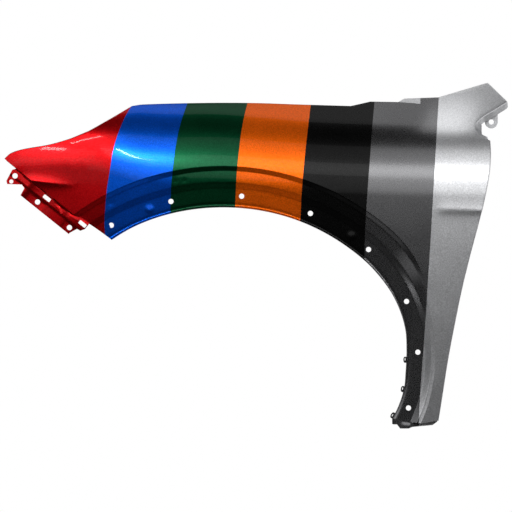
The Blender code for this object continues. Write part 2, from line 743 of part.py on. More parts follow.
def main():
    """Build the fender."""
    for item in list(bpy.data.objects):
        bpy.data.objects.remove(item)
    sheet = bmesh.new()
    outline = Outline()
    nose, arch, angles = build_loft(sheet, outline)
    root = [column[-1] for column, angle in zip(arch, angles) if ROOT_ANGLE <= angle <= THROAT_ANGLE]
    horn = build_horn(sheet, root)
    for column, angle in zip(arch, angles):
        if angle < ROOT_ANGLE:
            outline.add(column[-1], top_fold(column[-1].co.x, angle))
    for column in horn:
        outline.add(column[0], "cowl" if column is horn[0] else "horn")
    for vert in horn[-1][1:]:
        outline.add(vert, "horn")
    for column in reversed(horn[:-1]):
        outline.add(column[-1], "underside" if column[-1].co.x > HORN_THROAT[0] + THROAT_LEAD else "throat")
    for column, angle in zip(arch, angles):
        if angle > THROAT_ANGLE:
            outline.add(column[-1], top_fold(0.0, angle))
    rows = outline.fold(sheet)
    lug_depth = add_lug(sheet, outline, rows)
    build_strip(sheet, nose, arch)
    divide_at_bands(sheet)
    paint(sheet)
    flange = sorted((row[-1].co.x, (row[-1].co.y + row[-2].co.y) / 2)
                    for row, fold in zip(rows, outline.folds) if fold == "hood")
    mount = Vector((MOUNT_X, along(flange, MOUNT_X), FLANGE_HEIGHT - SHEET))
    cuts = bmesh.new()
    build_cutters(cuts, flange, lug_depth)
    paint(cuts)
    panel = make_object("fender_panel", sheet, mount)
    cutter = make_object("pierce_and_trim", cuts, mount)
    for finish in PAINTS:
        material = paint_material(*finish)
        panel.data.materials.append(material)
        cutter.data.materials.append(material)
    cutter.hide_render = True
    cutter.display_type = "WIRE"
    thickness = panel.modifiers.new("sheet", "SOLIDIFY")
    thickness.thickness = SHEET * MM
    thickness.offset = -1.0
    thickness.use_even_offset = True
    pierce = panel.modifiers.new("pierce_and_trim", "BOOLEAN")
    pierce.object = cutter
    pierce.operation = "DIFFERENCE"
    pierce.solver = "EXACT"
    panel.data.shade_smooth()
    panel.data.set_sharp_from_angle(angle=math.radians(SMOOTH_ANGLE))


main()
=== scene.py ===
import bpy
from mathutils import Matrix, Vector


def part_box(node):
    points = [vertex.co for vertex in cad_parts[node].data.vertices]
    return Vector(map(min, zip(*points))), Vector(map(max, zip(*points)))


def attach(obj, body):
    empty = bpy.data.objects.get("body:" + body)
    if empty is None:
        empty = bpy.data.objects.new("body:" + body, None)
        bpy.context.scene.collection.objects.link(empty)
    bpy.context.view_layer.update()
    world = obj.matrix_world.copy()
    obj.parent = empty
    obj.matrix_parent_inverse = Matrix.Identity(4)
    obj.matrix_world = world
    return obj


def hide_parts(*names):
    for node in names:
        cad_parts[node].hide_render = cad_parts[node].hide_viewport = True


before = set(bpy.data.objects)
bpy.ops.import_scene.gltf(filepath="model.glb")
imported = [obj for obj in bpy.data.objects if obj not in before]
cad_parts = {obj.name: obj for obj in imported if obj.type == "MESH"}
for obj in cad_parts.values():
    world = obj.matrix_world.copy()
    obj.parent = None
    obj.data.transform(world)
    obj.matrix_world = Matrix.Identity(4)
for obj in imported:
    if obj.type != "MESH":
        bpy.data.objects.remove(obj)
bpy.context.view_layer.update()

"""Finish of a front left car fender: fine pressed sheet, seven painted bands and a plain studio.

The pressed sheet is lofted in millimetres from the wheel centre, nose to -X, outer face
to -Y, up +Z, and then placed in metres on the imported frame, whose origin lies on the
underside of the hood-side bolt flange.
"""

import logging
import math
from dataclasses import dataclass, field
from enum import Enum
from typing import Iterable, Sequence

import bmesh
import bpy
from mathutils import Matrix, Vector

LOG = logging.getLogger("fender")
MM = 0.001
NODE = "fender_panel"
UP = Vector((0.0, 0.0, 1.0))
ACROSS = Vector((0.0, 1.0, 0.0))
AHEAD = Vector((1.0, 0.0, 0.0))
WHITE = (1.0, 1.0, 1.0, 1.0)
Pair = tuple[float, float]


# Curves and small sums

def blend(low: float, high: float, value: float) -> float:
    """Smooth 0 to 1 as value goes from low to high."""
    t = min(max((value - low) / (high - low), 0.0), 1.0)
    return t * t * (3.0 - 2.0 * t)


def eased_corner(distance: float, ease: float) -> float:
    """Distance beyond a corner, with the corner rounded.

    Args:
        distance: Distance from the corner, negative before it.
        ease: Half the length of the rounding.

    Returns:
        Zero before the corner, the distance beyond it, and a parabola between the two.
    """
    if distance <= -ease:
        return 0.0
    if distance >= ease:
        return distance
    return (distance + ease) ** 2 / (4.0 * ease)


def eased_ramp(value: float, start: float, width: float, ease: float) -> float:
    """Straight ramp from 0 to 1 with both ends rounded.

    Args:
        value: Where the ramp is read.
        start: Where its slope starts.
        width: Length of the slope.
        ease: Half the length of each rounded end.

    Returns:
        The ramp's height, 0 to 1.
    """
    return (eased_corner(value - start, ease) - eased_corner(value - start - width, ease)) / width


def along(points: Sequence[Pair], value: float) -> float:
    """Straight interpolation of the second coordinate at a value of the first.

    Args:
        points: Pairs in rising order of their first coordinate.
        value: First coordinate that is read.

    Returns:
        The second coordinate, held level beyond both ends.
    """
    if value <= points[0][0]:
        return points[0][1]
    for (x0, y0), (x1, y1) in zip(points, points[1:]):
        if value <= x1:
            return y0 + (y1 - y0) * (value - x0) / (x1 - x0)
    return points[-1][1]


def smooth_along(points: Sequence[Pair], value: float) -> float:
    """Cubic interpolation, with the slope at each point taken from its neighbours.

    Args:
        points: Pairs in rising order of their first coordinate.
        value: First coordinate that is read.

    Returns:
        The second coordinate, held level beyond both ends.
    """
    xs = [p[0] for p in points]
    ys = [p[1] for p in points]
    value = min(max(value, xs[0]), xs[-1])
    last = len(xs) - 1
    i = 0
    while i < last - 1 and value > xs[i + 1]:
        i += 1

    def slope(k: int) -> float:
        """Slope at one of the points."""
        low, high = max(k - 1, 0), min(k + 1, last)
        return (ys[high] - ys[low]) / (xs[high] - xs[low])

    h = xs[i + 1] - xs[i]
    t = (value - xs[i]) / h
    return ((2 * t ** 3 - 3 * t ** 2 + 1) * ys[i] + (t ** 3 - 2 * t ** 2 + t) * h * slope(i)
            + (3 * t ** 2 - 2 * t ** 3) * ys[i + 1] + (t ** 3 - t ** 2) * h * slope(i + 1))


def point_on(points: Sequence[Pair], share: float) -> Pair:
    """Point at a share of the length of a chain of points.

    Args:
        points: The chain.
        share: 0 at its start to 1 at its end.

    Returns:
        The point.
    """
    lengths = [math.dist(a, b) for a, b in zip(points, points[1:])]
    left = share * sum(lengths)
    for a, b, length in zip(points, points[1:], lengths):
        if left <= length or b is points[-1]:
            t = min(left / length, 1.0)
            return a[0] + (b[0] - a[0]) * t, a[1] + (b[1] - a[1]) * t
        left -= length
    return points[-1]


def spread(start: float, end: float, count: int) -> list[float]:
    """Values from start up to, but not including, end."""
    return [start + (end - start) * k / count for k in range(count)]


def snapped(values: Iterable[float], marks: Sequence[float]) -> list[float]:
    """Values in order, with a different one moved onto each mark: the nearest that is free.

    Args:
        values: The values to begin with.
        marks: Values that have to be among the result.

    Returns:
        As many values, in rising order.
    """
    values = list(values)
    free = list(range(len(values)))
    for mark in marks:
        nearest = min(free, key=lambda k: abs(values[k] - mark))
        free.remove(nearest)
        values[nearest] = mark
    return sorted(values)


# Form of the pressing

@dataclass(frozen=True)
class ArchLine:
    """The wheel arch edge: three arcs, each tangent to the one before it."""

    radius: float = 421.5
    start: float = -32.0
    crown_end: float = 30.5
    shoulder_radius: float = 462.0
    shoulder_end: float = 39.0
    leg_radius: float = 260.0
    end: float = 118.0
    start_skew: float = 4.2
    end_skew: float = 5.0
    end_skew_from: float = 100.0

    def point(self, angle: float, outward: float) -> Pair:
        """Point at a distance outward from the edge, where the edge's normal leans by angle.

        Args:
            angle: Degrees from upright, positive to the rear.
            outward: Distance from the edge.

        Returns:
            Place along the car and height.
        """
        def normal(degrees: float) -> Pair:
            """Direction that leans by so many degrees."""
            return math.sin(math.radians(degrees)), math.cos(math.radians(degrees))

        nx, nz = normal(angle)
        cx, cz = 0.0, 0.0
        radius = self.radius
        for end, following in ((self.crown_end, self.shoulder_radius), (self.shoulder_end, self.leg_radius)):
            if angle > end:
                ex, ez = normal(end)
                cx += (radius - following) * ex
                cz += (radius - following) * ez
                radius = following
        return cx + (radius + outward) * nx, cz + (radius + outward) * nz


@dataclass(frozen=True)
class BandForm:
    """Section of the stepped arch band, measured outward from the arch edge."""

    roll_width: float = 12.0
    roll_steps: int = 7
    edge_shift: tuple[Pair, ...] = ((-32.0, -2.0), (-24.0, 0.0), (0.0, -0.5), (26.0, 1.2), (50.0, 2.0),
                                    (64.0, 4.2), (78.0, 4.2), (87.0, 1.2), (96.0, 0.6), (103.0, 3.2),
                                    (112.0, 3.6), (118.0, 2.5))
    lip: float = 6.0
    hole_line: float = 23.5
    lower_start: float = 38.0
    lower_width: float = 12.0
    lower_depth: float = 6.0
    upper_start: float = 73.0
    upper_width: float = 9.0
    upper_depth: float = 6.0
    upper_fade: Pair = (48.0, 64.0)
    ease: float = 0.8
    ease_steps: int = 4
    row_pitch: float = 3.0
    margin: float = 2.0
    tilt: float = 0.09
    leg_share: float = 0.30
    leg_share_span: Pair = (47.0, 85.0)

    @property
    def floor(self) -> float:
        """Recess of the lowest step."""
        return self.lower_depth + self.upper_depth

    @property
    def reach(self) -> float:
        """Where the skin above the band begins."""
        return self.upper_start + self.upper_width + self.margin

    @property
    def knee(self) -> float:
        """Where the flat above the lower step begins."""
        return self.lower_start + self.lower_width + self.margin

    def stations(self) -> list[float]:
        """Distances from the arch edge at which the band has points, close together at each bend.

        Returns:
            Distances in rising order, up to where the skin begins.
        """
        places = []
        last = self.roll_width
        for start, width in ((self.lower_start, self.lower_width), (self.upper_start, self.upper_width)):
            for bend in (start, start + width):
                count = max(round((bend - self.ease - last) / self.row_pitch), 1)
                places += spread(last, bend - self.ease, count)[1:]
                places += spread(bend - self.ease, bend + self.ease, self.ease_steps)
                last = bend + self.ease
                places.append(last)
        return places + [self.reach]

    def lean(self, outward: float) -> float:
        """How far the flats' tilt carries the band inboard at a distance from the arch edge.

        Args:
            outward: Distance from the arch edge.

        Returns:
            Distance inboard.
        """
        flat = self.upper_start - self.lower_start - self.lower_width
        upper = min(max(self.upper_start - outward, 0.0), flat)
        lower = max(self.lower_start - outward, 0.0)
        return self.tilt * (upper + lower)

    def profile(self, angle: float) -> list[Pair]:
        """Points from the lip outward: distance from the arch edge and recess.

        Args:
            angle: Place along the arch, in degrees.

        Returns:
            Pairs of distance and recess, the same count at every angle.
        """
        upper = self.upper_depth * (1.0 - blend(*self.upper_fade, angle))
        edge = smooth_along(self.edge_shift, angle)
        radius = self.roll_width - edge
        floor = self.floor + self.lean(self.roll_width)
        points = [(edge, floor + radius + self.lip), (edge, floor + radius + self.lip / 2)]
        for k in range(self.roll_steps + 1):
            turn = math.pi / 2 * (1.0 - k / self.roll_steps)
            points.append((edge + radius * (1.0 - math.sin(turn)), floor + radius * (1.0 - math.cos(turn))))
        for outward in self.stations():
            low = eased_ramp(outward, self.lower_start, self.lower_width, self.ease)
            high = eased_ramp(outward, self.upper_start, self.upper_width, self.ease)
            lean = self.lean(outward)
            points.append((outward, self.floor - (self.floor - upper) * low - upper * high + lean))
        return points


@dataclass(frozen=True)
class Dimple:
    """Small round dent or boss of the pressing: place, radius and how far it stands inboard."""

    x: float
    z: float
    radius: float
    depth: float
    flat_share: float = 0.6

    def at(self, x: float, z: float) -> float:
        """How far it moves the sheet inboard at a place, flush at its top and most at its bottom.

        Args:
            x: Place along the car.
            z: Height above the wheel centre.

        Returns:
            Distance inboard.
        """
        share = math.hypot(x - self.x, z - self.z) / self.radius
        fall = 0.5 + (self.z - z) / (2.0 * self.radius)
        return self.depth * fall * (1.0 - blend(self.flat_share, 1.0, share))


@dataclass(frozen=True)
class Crease:
    """Ridge pressed along a line, which fades in along the car from one place to another.

    Above and below are the distances over which it falls off on either side of the line.
    """

    line: tuple[Pair, ...]
    height: float
    fade: Pair
    above: float
    below: float

    def at(self, x: float, z: float) -> float:
        """How far it stands proud at a place.

        Args:
            x: Place along the car.
            z: Height above the wheel centre.

        Returns:
            Distance outboard.
        """
        rise = z - along(self.line, x)
        reach = self.above if rise > 0.0 else self.below
        return self.height * blend(*self.fade, x) * math.exp(-abs(rise) / reach)


@dataclass(frozen=True)
class SkinForm:
    """The skin's curvature: how far it lies inboard of its outermost line."""

    nose_tip_x: float = -436.0
    nose_wrap: float = 125.0
    nose_wrap_start: float = 40.0
    nose_wrap_power: float = 2.2
    rear_wrap: float = 10.0
    rear_wrap_start: float = 250.0
    rear_end: float = 533.0
    shoulder: tuple[Pair, ...] = ((-436.0, 492.0), (-265.0, 500.0), (-145.0, 470.0), (0.0, 465.0),
                                  (225.0, 450.0), (570.0, 440.0))
    crown_height: tuple[Pair, ...] = ((-436.0, 120.0), (-265.0, 110.0), (-145.0, 155.0), (225.0, 150.0),
                                      (570.0, 134.0))
    crown_angle: tuple[Pair, ...] = ((-436.0, 50.0), (-145.0, 62.0), (225.0, 60.0), (570.0, 53.0))
    leg_tuck: float = 18.0
    leg_height: float = 490.0
    creases: tuple[Crease, ...] = (
        Crease(((-400.0, 472.0), (-382.0, 474.0), (-330.0, 468.0), (-280.0, 464.0)), 5.0, (-285.0, -370.0),
               10.0, 5.0),
        Crease(((420.0, 417.0), (520.0, 414.0)), 1.6, (415.0, 450.0), 14.0, 6.0))
    slope_step: float = 0.5
    dimples: tuple[Dimple, ...] = (Dimple(-146.0, 419.0, 10.0, -2.6), Dimple(257.0, 366.0, 10.0, -2.6),
                                   Dimple(-223.0, 431.0, 7.0, 0.8), Dimple(-94.0, 475.0, 6.0, 0.8),
                                   Dimple(-76.0, 476.0, 6.0, 0.8))

    def depth(self, x: float, z: float) -> float:
        """How far inboard the outer skin lies at a point of the side view.

        Args:
            x: Place along the car.
            z: Height above the wheel centre.

        Returns:
            Distance inboard.
        """
        nose = max(0.0, (self.nose_wrap_start - x) / (self.nose_wrap_start - self.nose_tip_x))
        rear = max(0.0, (x - self.rear_wrap_start) / (self.rear_end - self.rear_wrap_start))
        depth = self.nose_wrap * nose ** self.nose_wrap_power + self.rear_wrap * rear ** 2
        depth -= sum(crease.at(x, z) for crease in self.creases)
        rise = z - smooth_along(self.shoulder, x)
        if rise < 0.0:
            return depth + self.leg_tuck * (rise / self.leg_height) ** 2
        height = smooth_along(self.crown_height, x)
        angle = math.radians(smooth_along(self.crown_angle, x))
        turned = min(rise / height, 1.0) * angle
        return depth - height / angle * math.log(math.cos(turned)) + math.tan(angle) * max(rise - height, 0.0)

    def point(self, x: float, z: float, recess: float = 0.0) -> Vector:
        """Point of the outer face, set inboard by recess and by the dents near it."""
        dent = sum(dimple.at(x, z) for dimple in self.dimples if abs(x - dimple.x) < dimple.radius)
        return Vector((x, self.depth(x, z) + recess + dent, z))

    def normal(self, x: float, z: float) -> Vector:
        """Outward normal of the skin.

        Args:
            x: Place along the car.
            z: Height above the wheel centre.

        Returns:
            Direction of unit length.
        """
        step = self.slope_step
        dx = (self.depth(x + step, z) - self.depth(x - step, z)) / (2 * step)
        dz = (self.depth(x, z + step) - self.depth(x, z - step)) / (2 * step)
        return Vector((dx, -1.0, dz)).normalized()


@dataclass(frozen=True)
class OutlineForm:
    """Outline of the panel seen from the side."""

    nose_tip: Pair = (-436.0, 518.0)
    headlight: tuple[Pair, ...] = ((-425.0, 528.0), (-401.0, 536.0), (-341.0, 547.0), (-281.0, 567.0),
                                   (-233.0, 593.0))
    hood_corner: Pair = (-181.0, 624.0)
    hood: tuple[Pair, ...] = ((-160.0, 627.0), (-45.0, 630.0), (60.0, 630.0), (155.0, 627.0), (257.0, 624.0))
    cowl: tuple[Pair, ...] = ((296.0, 633.0), (352.0, 632.0), (365.0, 639.0), (433.0, 641.5))
    horn_root: Pair = (471.0, 653.0)
    horn_tip: Pair = (530.5, 670.8)
    horn_end: Pair = (568.3, 633.6)
    underside: tuple[Pair, ...] = ((540.0, 616.0), (519.0, 604.0), (506.0, 592.0))
    throat: Pair = (503.0, 582.0)
    throat_line: tuple[Pair, ...] = ((506.0, 574.0), (514.0, 562.0))
    door_corner: Pair = (533.0, 555.0)
    door: tuple[Pair, ...] = ((534.0, 526.0), (531.0, 490.0), (522.0, 440.0), (508.0, 384.0), (492.0, 324.0),
                              (476.0, 258.0), (460.0, 180.0), (448.0, 116.0), (438.0, 52.0))
    door_foot: Pair = (429.0, -5.0)
    foot: tuple[Pair, ...] = ((336.0, -10.0), (341.0, -12.4), (349.0, -12.4), (354.0, -20.6), (373.0, -20.6),
                              (377.0, -17.6), (419.5, -13.6))
    foot_taper_start: float = 400.0
    foot_end: float = 419.5
    foot_jog: float = 1.5
    foot_flange: float = 4.0
    foot_jog_shares: tuple[float, ...] = (0.35, 0.7, 1.0)
    foot_flange_shares: tuple[float, ...] = (0.15, 0.35, 0.6, 0.8, 1.0)
    pad_x: Pair = (360.0, 373.0)
    pad_ease: float = 3.0
    pad_height: float = 1.4
    pad_rise: Pair = (0.1, 0.4)
    lean_start: float = 12.0
    root_angle: float = 43.0
    throat_angle: float = 49.0
    corner_angle: float = 53.0

    def hood_height(self, x: float) -> float:
        """Height of the headlight edge, hood line and cowl line at a place along the car.

        Args:
            x: Place along the car.

        Returns:
            Height above the wheel centre.
        """
        if x > self.hood[-1][0]:
            return along((self.hood[-1],) + self.cowl + (self.horn_root,), x)
        if x < self.hood_corner[0]:
            return smooth_along((self.nose_tip,) + self.headlight + (self.hood_corner,), x)
        return smooth_along((self.hood_corner,) + self.hood, x)

    def top(self, angle: float, arch: ArchLine, reach: float) -> Pair:
        """Outline point that the arch section at this angle runs to.

        Args:
            angle: Angle of the section, in degrees.
            arch: Edge of the wheel arch.
            reach: Distance from that edge at which the skin begins.

        Returns:
            Place along the car and height.
        """
        if angle < self.root_angle:
            crease_x, _ = arch.point(angle, reach)
            root_x, _ = arch.point(self.root_angle, reach)
            x = crease_x + (self.horn_root[0] - root_x) * blend(self.lean_start, self.root_angle, angle)
            return x, self.hood_height(x)
        if angle < self.throat_angle:
            share = (angle - self.root_angle) / (self.throat_angle - self.root_angle)
            return point_on((self.horn_root, self.throat), share)
        if angle < self.corner_angle:
            share = (angle - self.throat_angle) / (self.corner_angle - self.throat_angle)
            return point_on((self.throat,) + self.throat_line + (self.door_corner,), share)
        share = (angle - self.corner_angle) / (arch.end - self.corner_angle)
        z = self.door_corner[1] + (self.door_foot[1] - self.door_corner[1]) * share
        door = (self.door_corner,) + self.door + (self.door_foot,)
        return smooth_along([(place[1], place[0]) for place in reversed(door)], z), z


class Fold(Enum):
    """Folds along the outline, each with its bend in degrees and its wall in millimetres."""

    HEADLIGHT = (90.0, 13.0)
    HOOD = (88.0, 0.0)
    COWL = (88.0, 9.0)
    HORN = (84.0, 12.0)
    UNDERSIDE = (84.0, 13.0)
    THROAT = (40.0, 0.0)
    DOOR = (92.0, 11.0)


@dataclass(frozen=True)
class FoldForm:
    """How the sheet turns inboard along the outline."""

    radius: float = 2.4
    steps: int = 6
    wall_steps: int = 5
    flange_height: float = 598.0
    flange_width: float = 26.0
    flange_end: float = 355.0
    flange_steps: int = 4
    web: tuple[tuple[float, float, float], ...] = ((562.0, 529.0, 562.0), (574.0, 518.5, 567.0),
                                                   (582.0, 518.0, 576.0), (592.0, 518.5, 586.0))
    web_depth: float = 9.0
    throat_reach: float = 510.0

    def points(self, place: Vector, outward: Vector, inboard: Vector, fold: Fold) -> list[Vector]:
        """Points of the fold that starts at an outline point.

        Args:
            place: The outline point.
            outward: Direction in the sheet, away from the panel.
            inboard: Direction into the car.
            fold: Which fold the outline has there.

        Returns:
            The points from the bend to the free edge, the same count for every fold.
        """
        degrees, wall = fold.value
        bend = math.radians(degrees)
        points = []
        for k in range(1, self.steps + 1):
            turn = bend * k / self.steps
            points.append(place + self.radius * (math.sin(turn) * outward + (1.0 - math.cos(turn)) * inboard))
        start = points[-1]
        ahead = math.cos(bend) * outward + math.sin(bend) * inboard
        total = self.wall_steps + self.flange_steps
        if fold is Fold.HOOD:
            level = Vector((ahead.x, ahead.y, 0.0)).normalized()
            wall = (self.flange_height + self.radius - start.z) / ahead.z
            points += [start + wall * k / self.wall_steps * ahead for k in range(1, self.wall_steps + 1)]
            corner = points[-1] + self.radius * level
            corner.z = self.flange_height
            last = self.flange_steps - 1
            points += [corner + self.flange_width * k / last * level for k in range(self.flange_steps)]
            return points
        end = start + wall * ahead
        if fold is Fold.THROAT:
            x = along([(mark[0], mark[1]) for mark in self.web], place.z)
            z = along([(mark[0], mark[2]) for mark in self.web], place.z)
            end = Vector((x, place.y + self.web_depth, z))
        return points + [start.lerp(end, k / total) for k in range(1, total + 1)]


@dataclass(frozen=True)
class StripForm:
    """The front fixing strip, measured along the nose edge and down from it.

    A level step has its place and how far inboard it goes. A rib has its start, its end and how far
    inboard it stands, the boss its place, radius and how far inboard, a hole its place and diameter.
    """

    start: float = 31.0
    step: float = 3.0
    step_rows: int = 11
    depth: float = 7.0
    jog: float = 17.0
    jog_ease: float = 1.4
    jog_depth: float = 2.0
    tilt: float = 0.25
    level_steps: tuple[Pair, ...] = ((45.5, 1.2), (85.3, -1.2), (140.3, 1.2))
    level_rows: Pair = (17.0, 20.0)
    level_width: float = 1.8
    rib_width: float = 1.6
    ribs: tuple[tuple[float, float, float, float, float], ...] = (
        (57.6, 4.0, 60.1, 15.0, -1.0), (105.7, 5.5, 129.0, 6.6, 1.0), (129.0, 6.6, 125.0, 15.0, -1.0),
        (125.0, 15.0, 106.0, 5.5, -0.9))
    boss: tuple[float, float, float, float] = (147.0, 9.0, 9.0, -1.1)
    width: float = 37.0
    row_pitch: float = 2.6
    tab_trim: tuple[Pair, ...] = ((-60.0, -2.0), (-31.0, 0.7), (-1.5, 0.9), (-6.0, 7.6), (-1.5, 32.0),
                                  (4.0, 36.0), (27.5, 18.6), (36.0, 21.0), (38.5, 35.0), (46.0, 60.0),
                                  (-60.0, 60.0))
    end_trim: tuple[Pair, ...] = ((163.0, 34.0), (169.5, 18.5), (177.0, 17.5), (187.0, 1.0), (215.0, 1.0),
                                  (215.0, 60.0), (163.0, 60.0))
    holes: tuple[tuple[float, float, float], ...] = ((74.0, 26.0, 10.6), (156.0, 26.0, 10.6),
                                                     (6.0, 13.5, 10.8), (7.2, 27.0, 8.2))
    slots: tuple[Pair, ...] = ((84.0, 8.5), (172.0, 4.0))
    slot_length: float = 17.0
    slot_width: float = 7.6
    slot_corner: float = 1.8
    slot_corner_steps: int = 4
    top_rows: int = 5
    jog_rows: int = 4

    def emboss(self, s: float, t: float) -> float:
        """How far the strip's pressed steps, ribs and boss stand inboard.

        Args:
            s: Distance along the nose edge.
            t: Distance down from it.

        Returns:
            Distance inboard.
        """
        rise = sum(height * blend(place, place + self.level_width, s) for place, height in self.level_steps)
        rise *= blend(*self.level_rows, t)
        place = Vector((s, t))
        for s0, t0, s1, t1, height in self.ribs:
            start, run = Vector((s0, t0)), Vector((s1 - s0, t1 - t0))
            share = min(max((place - start).dot(run) / run.length_squared, 0.0), 1.0)
            away = (place - start - run * share).length
            rise += height * (1.0 - blend(0.0, self.rib_width, away))
        s0, t0, radius, height = self.boss
        away = (place - Vector((s0, t0))).length
        return rise + height * (1.0 - blend(radius - self.rib_width, radius, away))


@dataclass(frozen=True)
class HoleForm:
    """Holes of the arch band and of the bolt flange."""

    clip: float = 10.4
    clip_angles: tuple[float, ...] = (-30.0, -13.4, 4.9, 23.2, 40.7, 66.9, 88.0, 111.0)
    flange: float = 9.0
    flange_places: tuple[float, ...] = (-120.0, 60.0, 250.0)
    sides: int = 40
    pierce: float = 10.0
    strip_pierce: float = 60.0
    ear_pierce: float = 6.0
    trim_margin: float = 60.0


@dataclass(frozen=True)
class EarForm:
    """Ears of the arch lip."""

    angles: tuple[float, ...] = (91.0, 104.0, 116.5)
    half_width: float = 7.0
    length: float = 15.0
    lean: float = 6.0
    rows: int = 10
    straight: float = 0.45
    least_width: float = 0.15
    hole: float = 6.0
    hole_place: float = 0.5


@dataclass(frozen=True)
class LugForm:
    """Round lug under the horn."""

    centre: Pair = (538.0, 592.5)
    radius: float = 13.0
    hole: float = 10.4
    steps: int = 28
    neck: float = 0.8
    shelf: float = 4.0


@dataclass(frozen=True)
class Grid:
    """How finely the sheet is divided."""

    nose_columns: int = 44
    hood_columns: int = 170
    root_columns: int = 14
    throat_columns: int = 12
    door_columns: int = 120
    horn_columns: int = 26
    skin_rows: int = 46
    skin_row_power: float = 1.15


# Building of the pressed sheet

Vert = bmesh.types.BMVert
Column = list[Vert]


def add_points(mesh: bmesh.types.BMesh, points: Iterable[Vector]) -> Column:
    """New vertices of the mesh at points in millimetres."""
    return [mesh.verts.new(point) for point in points]


def add_strip(mesh: bmesh.types.BMesh, left: Column, right: Column) -> None:
    """Faces between two rows of vertices, seen from outside with left on the nose side."""
    for a, b, c, d in zip(left, right, right[1:], left[1:]):
        mesh.faces.new((a, b, c, d))


